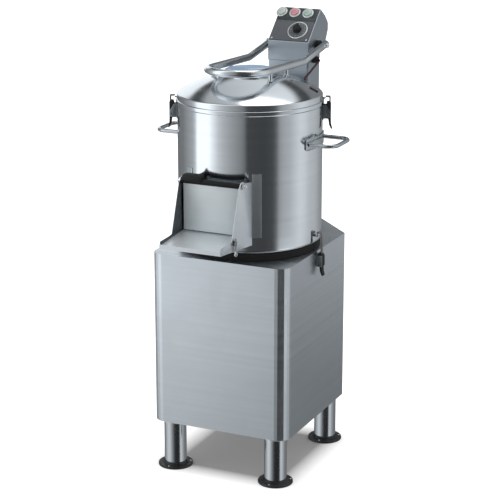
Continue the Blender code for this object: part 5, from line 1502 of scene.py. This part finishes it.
@dataclass
class Latches:
    """Lid latches and base clamps: black levers with steel hooks on steel brackets."""

    width: float = 0.0155
    front: float = 0.0042
    depth: float = 0.0124
    hook_front: float = 0.003
    hook_depth: float = 0.0036
    hook_width: float = 0.0100
    nose_relief: float = 0.0007
    ear: float = 0.0021
    ear_gap: float = 0.0086
    plate_inner: float = 0.1903
    plate_outer: float = 0.1922
    plate_low: float = 0.9375
    plate_high: float = 0.9788
    plate_swing: float = 4.4
    pin_radius: float = 0.0025
    pin_end: float = 0.0015
    catch_inner: float = 0.1897
    catch_outer: float = 0.1966
    catch_low: float = 0.9923
    catch_high: float = 0.9945
    catch_width: float = 0.0140
    latches: tuple[SwingLatch, ...] = (
        SwingLatch("lid_latch_right", "latch_right", 22.0, 0.207, 0.950, 0.0492, 0.0104, 0.0346,
                   0.037),
        SwingLatch("lid_latch_left", "latch_left", 202.0, 0.207, 0.950, 0.0492, 0.0104, 0.0346,
                   0.037),
        SwingLatch("base_clamp_right", "clamp_right", 0.0, 0.206, 0.575, 0.0771, 0.0114, 0.022,
                   0.040),
        SwingLatch("base_clamp_left", "clamp_left", 180.0, 0.206, 0.575, 0.0771, 0.0114, 0.022,
                   0.040))

    def build(self) -> None:
        """Builds every latch, and the lid's two catches."""
        for latch in self.latches:
            turn = Matrix.Rotation(math.radians(latch.angle), 4, "Z")
            place = turn @ Matrix.Translation((latch.pivot, 0.0, latch.height))
            self.build_lever(latch, place)
            self.build_hook(latch, place)
            bracket = f"{latch.name}_bracket"
            if latch.name.startswith("lid"):
                self.build_catch(latch, turn)
                self.build_seat(latch, turn, place, bracket)
            else:
                Workpiece(f"{latch.name}_seat").copied(bracket, 0.0005).finish(
                    "machine", "bright_steel", BRACKET_STEEL, (bracket,))

    def build_seat(self, latch: SwingLatch, turn: Matrix, place: Matrix, bracket: str) -> None:
        """A lid latch's bracket: a curved back plate with two ears and the pin.

        Args:
            latch: the latch it carries.
            turn: the way round to it.
            place: its pin.
            bracket: the node that it stands for.
        """
        back = self.plate_outer - latch.pivot
        seat = Workpiece(f"{latch.name}_seat")
        outline = [(back - 0.0006, -0.0098), (back - 0.0006, 0.0268), (-0.0078, 0.0258),
                   (0.0042, 0.0060), (0.0042, -0.0050), (-0.0010, -0.0098)]
        for side in (-1, 1):
            ear = Workpiece("ear").plate(outline, self.ear)
            ear.round_sharp(0.0004, 2, 50.0)
            middle = side * (self.ear_gap + self.ear / 2)
            seat.add(ear.moved(Matrix.Translation((0.0, middle, 0.0))))
        pin = Workpiece("pin").rod(self.pin_radius, 2 * (self.ear_gap + self.ear + self.pin_end),
                                   Along.Y, 20, 0.0006)
        seat.add(pin).moved(place)
        plate = Workpiece("plate").shell_part(
            self.plate_inner, self.plate_outer, self.plate_low, self.plate_high, -self.plate_swing,
            self.plate_swing, 8)
        plate.round_sharp(0.0005, 2, 60.0)
        seat.add(plate.moved(turn))
        seat.finish("machine", "bright_steel", BRACKET_STEEL, (bracket,))

    def build_catch(self, latch: SwingLatch, turn: Matrix) -> None:
        """The small block on the lid's skirt that a hook reaches over.

        Args:
            latch: the latch it belongs to.
            turn: the way round to it.
        """
        size = (self.catch_outer - self.catch_inner, self.catch_width,
                self.catch_high - self.catch_low)
        middle = ((self.catch_outer + self.catch_inner) / 2, 0.0,
                  (self.catch_high + self.catch_low) / 2)
        catch = Workpiece(f"{latch.name}_catch").block(size, middle, 0.0006)
        catch.moved(turn).finish("lid", "bright_steel", BRACKET_STEEL)

    def build_lever(self, latch: SwingLatch, place: Matrix) -> None:
        """The moulded grip, thick at its head and drawn out to a tail.

        Args:
            latch: which latch.
            place: its pin.
        """
        front = self.front
        back = front - self.depth
        low = -latch.tail
        high = latch.grip_rise
        outline = [(front, low * 0.35), (front + 0.0005, low * 0.7), (front + 0.0035, low),
                   (front + 0.0005, low - 0.001), (back + 0.0075, low * 0.72),
                   (back + 0.0055, low * 0.34), (back + 0.0006, low * 0.2), (back, 0.0),
                   (back, high * 0.8), (back + 0.002, high), (front - 0.003, high),
                   (front, high * 0.86)]
        lever = Workpiece(f"{latch.name}_lever").plate(outline, self.width)
        lever.round_sharp(0.0012, 3, 50.0)
        lever.moved(place).finish(latch.body, "black_plastic", BLACK_PLASTIC, (latch.name,))

    def build_hook(self, latch: SwingLatch, place: Matrix) -> None:
        """The steel hook that reaches up over its catch.

        Args:
            latch: which latch.
            place: its pin.
        """
        outer = self.hook_front
        inner = outer - self.hook_depth
        high = latch.hook_rise
        nose = -latch.hook_reach
        outline = [(outer, latch.grip_rise * 0.5), (outer, high - 0.003), (outer - 0.0012, high),
                   (nose + 0.0006, high), (nose, high - 0.0006),
                   (nose, high - self.hook_depth + self.nose_relief),
                   (nose + 0.005, high - self.hook_depth), (inner - 0.0012, high - self.hook_depth),
                   (inner, high - self.hook_depth - 0.0012),
                   (inner, latch.grip_rise * 0.5)]
        hook = Workpiece(f"{latch.name}_hook").plate(outline, self.hook_width)
        hook.round_sharp(0.0005, 2, 50.0)
        hook.moved(place).finish(latch.body, "bright_steel", GREY_IRON)


@dataclass
class Handles:
    """The two lifting handles: bent rods on curved pads."""

    height: float = 0.892
    near_y: float = -0.044
    far_y: float = 0.070
    reach: float = 0.256
    rod_radius: float = 0.0054
    bend: float = 0.027
    inner: float = 0.1903
    outer: float = 0.1933
    pad_swing: float = 21.376
    pad_lean: float = 3.917
    pad_height: float = 0.030
    pad_corner: float = 0.012

    def build(self) -> None:
        """Builds both handles."""
        for name, side in (("handle_right", 1), ("handle_left", -1)):
            self.build_handle(name, side)

    def build_handle(self, name: str, side: int) -> None:
        """One rod with its pad and weld beads.

        Args:
            name: the node that it stands for.
            side: 1 on the right, -1 on the left.
        """
        middle = (self.inner + self.outer) / 2
        roots = [math.sqrt(middle ** 2 - y ** 2) for y in (self.near_y, self.far_y)]
        corners = [Vector((side * roots[0], self.near_y, self.height)),
                   Vector((side * self.reach, self.near_y, self.height)),
                   Vector((side * self.reach, self.far_y, self.height)),
                   Vector((side * roots[1], self.far_y, self.height))]
        handle = Workpiece(f"{name}_rod").tube(rounded_path(corners, self.bend, 10),
                                               self.rod_radius, 24)
        turn = Matrix.Rotation(side * math.pi / 2, 4, "Y")
        beads = [Matrix.Translation((side * (root + 0.001), y, self.height)) @ turn
                 for root, y in zip(roots, (self.near_y, self.far_y))]
        handle.heads(HeadShape.WELD, 24, *beads).finish("machine", "bright_steel", HANDLE_STEEL,
                                                        (name,))
        self.build_pad(name, side)

    def build_pad(self, name: str, side: int) -> None:
        """The curved pad with rounded corners.

        Args:
            name: the handle that it carries.
            side: 1 on the right, -1 on the left.
        """
        low = self.height - self.pad_height / 2
        first = self.pad_lean - self.pad_swing
        last = self.pad_lean + self.pad_swing
        if side < 0:
            first, last = 180.0 - last, 180.0 - first
        pad = Workpiece(f"{name}_pad").shell_part(self.inner, self.outer, low,
                                                  low + self.pad_height, first, last, 20)
        corners = [edge for edge in pad.mesh.edges
                   if abs(edge.verts[0].co.z - edge.verts[1].co.z) < MERGE
                   and abs(edge.calc_length() - (self.outer - self.inner)) < MERGE
                   and self.is_corner(edge, first, last)]
        pad.round_over(corners, self.pad_corner, 6)
        pad.round_sharp(0.0006, 2, 50.0)
        pad.finish("machine", "bright_steel", HANDLE_STEEL)

    @staticmethod
    def is_corner(edge: bmesh.types.BMEdge, first: float, last: float) -> bool:
        """Whether an edge lies at one of the pad's two ends."""
        angle = math.degrees(math.atan2(edge.verts[0].co.y, edge.verts[0].co.x)) % 360.0
        return min(abs(angle - first % 360.0), abs(angle - last % 360.0)) < 0.01


@dataclass
class LidSwitch:
    """The switch that senses the closed lid."""

    cable_radius: float = 0.0029
    gland_x: float = 0.0603
    gland_y: float = 0.284
    gland_z: float = 1.053
    gland_radius: float = 0.0105
    gland_length: float = 0.012
    slack: float = 0.014
    cable_lead: float = 0.018
    cable_bend: float = 0.008
    switch_x: float = 0.0747
    switch_y: float = 0.1848
    switch_top: float = 1.0022
    plate_size: Point = (0.026, 0.034, 0.0036)
    plate_angle: float = 18.0
    plate_reach: float = 0.169
    plate_tilt: float = 29.0
    plate_z: float = 1.0218

    def build(self) -> None:
        """Builds the switch's bracket, cable and counter-plate."""
        Workpiece("switch_tab").copied("sensor_bracket", 0.0006).finish(
            "machine", "grey_metal", GREY_IRON, ("sensor_bracket",))
        Workpiece("switch_block").copied("lid_sensor", 0.0004).finish(
            "machine", "black_plastic", BLACK_PLASTIC, ("lid_sensor",))
        self.build_cable()
        self.build_plate()

    def build_cable(self) -> None:
        """The short cable that hangs from the post's gland to the switch."""
        corners = [Vector((self.gland_x, self.gland_y, self.gland_z)),
                   Vector((self.gland_x + self.cable_lead, self.gland_y, self.gland_z)),
                   Vector((self.switch_x, self.switch_y, self.switch_top + self.slack)),
                   Vector((self.switch_x, self.switch_y, self.switch_top))]
        path = rounded_path(corners, self.cable_bend, 8)
        Workpiece("switch_cable").tube(path, self.cable_radius, 16).finish(
            "machine", "black_rubber", CABLE_RED, ("sensor_cable",))
        gland = Workpiece("cable_gland").turned(
            [(0.0, 0.0), (self.gland_radius, 0.0), (self.gland_radius, 0.0052),
             (self.gland_radius - 0.0018, 0.0066), (self.gland_radius - 0.0026, self.gland_length),
             (0.0, self.gland_length + 0.0008)], 28)
        turn = Matrix.Translation((self.gland_x, self.gland_y, self.gland_z))
        gland.moved(turn @ Matrix.Rotation(math.pi / 2, 4, "Y")).finish(
            "machine", "black_plastic", BLACK_PLASTIC)

    def build_plate(self) -> None:
        """The plate on the lid that the switch answers to."""
        plate = Workpiece("switch_counter_plate").block(self.plate_size, bevel=0.0012)
        turn = Matrix.Rotation(math.radians(self.plate_angle), 4, "Z")
        spot = Matrix.Translation((self.plate_reach, 0.0, self.plate_z))
        tilt = Matrix.Rotation(math.radians(self.plate_tilt), 4, "Y")
        plate.moved(turn @ spot @ tilt).finish("lid", "grey_metal", GREY_IRON)


@dataclass(frozen=True)
class WallTone:
    """How bright the studio wall is in one direction, at its foot and above it."""

    angle: float
    foot: float
    wall: float


@dataclass
class Studio:
    """Floor, surround, lamp, world and camera."""

    camera_place: Point = (1.88605, -4.07686, 1.8634)
    camera_pitch: float = 74.0
    camera_heading: float = 24.9
    lens: float = 125.58
    floor_radius: float = 14.0
    # The painted shadow under the cabinet: its rectangle, the width and curve of its edge, and the
    # dark floor colour that shows in it.
    shadow_half: Pair = (0.15, 0.16)
    shadow_fade: float = 0.1
    shadow_power: float = 0.8
    painted_shadow_floor_colour: Colour = (0.56, 0.54, 0.53)
    wall_radius: float = 2.3
    wall_low: float = -2.4
    wall_high: float = 2.6
    ceiling: float = 3.6
    cast: Colour = (0.93, 0.97, 1.0)
    foot_edge: Pair = (-0.05, 0.03)
    rear_edge: Pair = (136.0, 150.0)
    rear_foot: Pair = (0.78, 0.9)
    rear_levels: Pair = (1.15, 0.22)
    slant: float = 1.2
    band_edge: Pair = (1.68, 1.84)
    band_level: float = 0.06
    roof_edge: Pair = (2.2, 2.5)
    roof_levels: Pair = (0.5, 0.9)
    lamp_place: Point = (0.42, 0.25, 3.1)
    lamp_aim: Point = (0.0, 0.0, 0.9)
    lamp_size: float = 1.5
    lamp_energy: float = 9.0
    tones: tuple[WallTone, ...] = (
        WallTone(-180.0, 0.12, 0.12), WallTone(-160.0, 0.15, 0.16), WallTone(-144.0, 0.3, 0.2),
        WallTone(-128.0, 0.5, 0.22), WallTone(-112.0, 0.7, 0.34), WallTone(-99.0, 0.9, 0.44),
        WallTone(-93.0, 1.0, 0.62), WallTone(-88.0, 1.2, 1.35), WallTone(-66.0, 1.4, 1.35),
        WallTone(-57.0, 1.25, 0.98), WallTone(-49.0, 1.0, 0.68), WallTone(-40.0, 0.72, 0.52),
        WallTone(-28.0, 0.4, 0.39), WallTone(-14.0, 0.12, 0.27), WallTone(-9.0, 0.08, 0.21),
        WallTone(-5.0, 0.06, 0.07), WallTone(20.0, 0.045, 0.06), WallTone(34.0, 0.06, 0.075),
        WallTone(40.0, 0.25, 0.14), WallTone(45.0, 1.2, 0.36), WallTone(51.0, 1.25, 0.44),
        WallTone(62.0, 1.25, 0.52), WallTone(72.0, 0.9, 0.66), WallTone(82.0, 0.75, 0.78),
        WallTone(92.0, 0.6, 0.74), WallTone(104.0, 0.42, 0.6), WallTone(122.0, 0.4, 0.52),
        WallTone(142.0, 0.38, 0.34), WallTone(180.0, 0.2, 0.2))

    def build(self) -> None:
        """Sets the whole studio up."""
        self.set_view()
        self.build_camera()
        self.build_world()
        self.build_floor()
        self.build_surround()
        self.build_lamp()

    @staticmethod
    def set_view() -> None:
        """Plain view transform."""
        bpy.context.scene.view_settings.view_transform = "Standard"

    def build_camera(self) -> None:
        """The camera at the photograph's place."""
        data = bpy.data.cameras.new("photo_camera")
        data.lens = self.lens
        data.clip_end = 100.0
        camera = bpy.data.objects.new("photo_camera", data)
        camera.location = self.camera_place
        camera.rotation_euler = (math.radians(self.camera_pitch), 0.0,
                                 math.radians(self.camera_heading))
        bpy.context.scene.collection.objects.link(camera)
        bpy.context.scene.camera = camera

    def build_world(self) -> None:
        """White to the camera, to metal and through glass; a plain level for the rest."""
        world = bpy.data.worlds.new("studio_air")
        world.use_nodes = True
        bpy.context.scene.world = world
        board = NodeBoard(world.node_tree)
        back = world.node_tree.nodes["Background"]
        rays = board.add("ShaderNodeLightPath").outputs
        seen = board.maths("MAXIMUM", rays["Is Camera Ray"], rays["Is Glossy Ray"])
        shown = board.maths("MAXIMUM", seen, rays["Is Transmission Ray"])
        level = board.ranged(shown, 0.8, 1.0)
        back.inputs["Color"].default_value = (1.0, 1.0, 1.0, 1.0)
        board.tree.links.new(level, back.inputs["Strength"])

    def build_floor(self) -> None:
        """A floor with a painted shadow: its camera-only white glow is held back over a rectangle
        under the cabinet, where the darker floor colour shows and deepens the real shadow, and runs
        out into white beyond it.
        """
        shape = bmesh.new()
        bmesh.ops.create_circle(shape, cap_ends=True, segments=96, radius=self.floor_radius)
        data = bpy.data.meshes.new("studio_floor")
        shape.to_mesh(data)
        shape.free()
        floor = bpy.data.objects.new("studio_floor", data)
        floor.location = (0.0, 0.0, -0.0004)
        bpy.context.scene.collection.objects.link(floor)
        floor.visible_glossy = False
        material = bpy.data.materials.new("studio_floor")
        material.use_nodes = True
        tree = material.node_tree
        tree.nodes.clear()
        board = NodeBoard(tree)
        place = board.add("ShaderNodeTexCoord").outputs["Object"]
        beside = board.add("ShaderNodeVectorMath", {0: place}, operation="ABSOLUTE").outputs[0]
        past = board.add("ShaderNodeVectorMath", {0: beside, 1: (*self.shadow_half, 0.0)},
                         operation="SUBTRACT").outputs[0]
        gap = board.add("ShaderNodeVectorMath", {0: past}, operation="MAXIMUM").outputs[0]
        away = board.add("ShaderNodeVectorMath", {0: gap}, operation="LENGTH").outputs["Value"]
        rays = board.add("ShaderNodeLightPath").outputs
        # Painted shadow: no glow over the cabinet's footprint, full white glow beyond its edge.
        fade = board.ranged(away, 0.0, 1.0, 0.0, self.shadow_fade)
        fade = board.maths("POWER", fade, self.shadow_power)
        glow = board.maths("MULTIPLY", fade, rays["Is Camera Ray"])
        paint = board.add("ShaderNodeBsdfDiffuse", {"Color": (*self.painted_shadow_floor_colour, 1.0)})
        light = board.add("ShaderNodeEmission", {"Strength": glow})
        both = board.add("ShaderNodeAddShader", {0: paint.outputs[0], 1: light.outputs[0]})
        out = board.add("ShaderNodeOutputMaterial")
        tree.links.new(both.outputs[0], out.inputs["Surface"])
        data.materials.append(material)

    def build_surround(self) -> None:
        """Walls and ceiling of a studio tent, which only show as reflections in the metal."""
        shape = bmesh.new()
        profile = [(self.wall_radius, self.wall_low), (self.wall_radius, self.wall_high),
                   (self.wall_radius * 0.8, self.ceiling), (0.0, self.ceiling)]
        points = [shape.verts.new((radius, 0.0, height)) for radius, height in profile]
        edges = [shape.edges.new(pair) for pair in zip(points, points[1:])]
        bmesh.ops.spin(shape, geom=points + edges, cent=(0.0, 0.0, 0.0), axis=(0.0, 0.0, 1.0),
                       angle=FULL_TURN, steps=96, use_merge=True)
        bmesh.ops.remove_doubles(shape, verts=shape.verts, dist=MERGE)
        data = bpy.data.meshes.new("studio_tent")
        shape.to_mesh(data)
        shape.free()
        tent = bpy.data.objects.new("studio_tent", data)
        bpy.context.scene.collection.objects.link(tent)
        for name in ("visible_camera", "visible_diffuse", "visible_transmission",
                     "visible_volume_scatter", "visible_shadow"):
            setattr(tent, name, False)
        data.materials.append(self.tent_material())

    def tent_material(self) -> bpy.types.Material:
        """Returns the tent's glow, which changes with the direction round the machine."""
        material = bpy.data.materials.new("studio_tent")
        material.use_nodes = True
        tree = material.node_tree
        tree.nodes.clear()
        board = NodeBoard(tree)
        place = board.add("ShaderNodeTexCoord").outputs["Object"]
        heading = math.radians(self.camera_heading)
        to_camera = (math.sin(heading), -math.cos(heading), 0.0)
        to_right = (math.cos(heading), math.sin(heading), 0.0)
        parts = []
        for way in (to_right, to_camera):
            node = board.add("ShaderNodeVectorMath", {0: place, 1: way}, operation="DOT_PRODUCT")
            parts.append(node.outputs["Value"])
        angle = board.maths("ARCTAN2", parts[0], parts[1])
        share = board.ranged(angle, 0.0, 1.0, -math.pi, math.pi)
        foot, wall = (self.tone_ramp(board, share, level) for level in ("foot", "wall"))
        height = board.add("ShaderNodeSeparateXYZ", {0: place}).outputs["Z"]
        low = board.ranged(height, 0.5, 1.0, -0.55, 0.0)
        low_wall = board.maths("MULTIPLY", low, foot)
        level = self.blend(board, board.ranged(height, 0.0, 1.0, *self.foot_edge), low_wall, wall)
        turn = board.maths("ABSOLUTE", angle)
        behind = board.ranged(turn, 0.0, 1.0, *(math.radians(edge) for edge in self.rear_edge))
        slope = board.maths("MULTIPLY_ADD", turn, self.slant, -self.slant * math.pi)
        raised = board.maths("ADD", height, slope)
        lit = board.maths("MULTIPLY", behind, board.ranged(height, 0.0, 1.0, *self.rear_foot))
        level = self.blend(board, lit, level, board.ranged(angle, *self.rear_levels, -0.3, 0.3))
        band = board.ranged(raised, 0.0, 1.0, *self.band_edge)
        level = self.blend(board, band, level, self.band_level)
        up = board.ranged(raised, 0.0, 1.0, *self.roof_edge)
        over = board.ranged(parts[0], *self.roof_levels, -1.2, 1.2)
        level = self.blend(board, up, level, over)
        light = board.add("ShaderNodeEmission", {"Color": (*self.cast, 1.0), "Strength": level})
        out = board.add("ShaderNodeOutputMaterial")
        tree.links.new(light.outputs[0], out.inputs["Surface"])
        return material

    @staticmethod
    def blend(board: NodeBoard, share: Any, first: Any, second: Any) -> bpy.types.NodeSocket:
        """Mixes two levels.

        Args:
            board: the material's board.
            share: how much of the second.
            first: the level at 0.
            second: the level at 1.

        Returns:
            The mixed level's socket.
        """
        inputs = {0: share, 2: first, 3: second}
        return board.add("ShaderNodeMix", inputs, data_type="FLOAT").outputs[0]

    def tone_ramp(self, board: NodeBoard, share: bpy.types.NodeSocket,
                  level: str) -> bpy.types.NodeSocket:
        """A ramp of the studio's tones round the machine.

        Args:
            board: the material's board.
            share: the direction, from 0 to 1.
            level: which of each tone's levels it takes.

        Returns:
            The ramp's socket.
        """
        node = board.add("ShaderNodeValToRGB", {0: share})
        for index, tone in enumerate(self.tones):
            place = (tone.angle + 180.0) / 360.0
            stops = node.color_ramp.elements
            stop = stops[index] if index < 2 else stops.new(place)
            stop.position = place
            value = getattr(tone, level)
            stop.color = (value, value, value, 1.0)
        return node.outputs[0]

    def build_lamp(self) -> None:
        """One large soft box above and to the right."""
        data = bpy.data.lights.new("soft_box", "AREA")
        data.shape = "SQUARE"
        data.size = self.lamp_size
        data.energy = self.lamp_energy
        lamp = bpy.data.objects.new("soft_box", data)
        lamp.location = self.lamp_place
        way = Vector(self.lamp_aim) - lamp.location
        lamp.rotation_euler = way.to_track_quat("-Z", "Y").to_euler()
        bpy.context.scene.collection.objects.link(lamp)


def main() -> None:
    """Builds the studio and every sub-assembly."""
    logging.basicConfig(level=logging.INFO, format="%(message)s")
    Studio().build()
    for assembly in (Cabinet(), Legs(), Drum(), Drive(), Chute(), Lid(), Column(), Latches(),
                     Handles(), LidSwitch()):
        LOG.info("building %s", type(assembly).__name__)
        assembly.build()


if __name__ == "__main__":
    main()
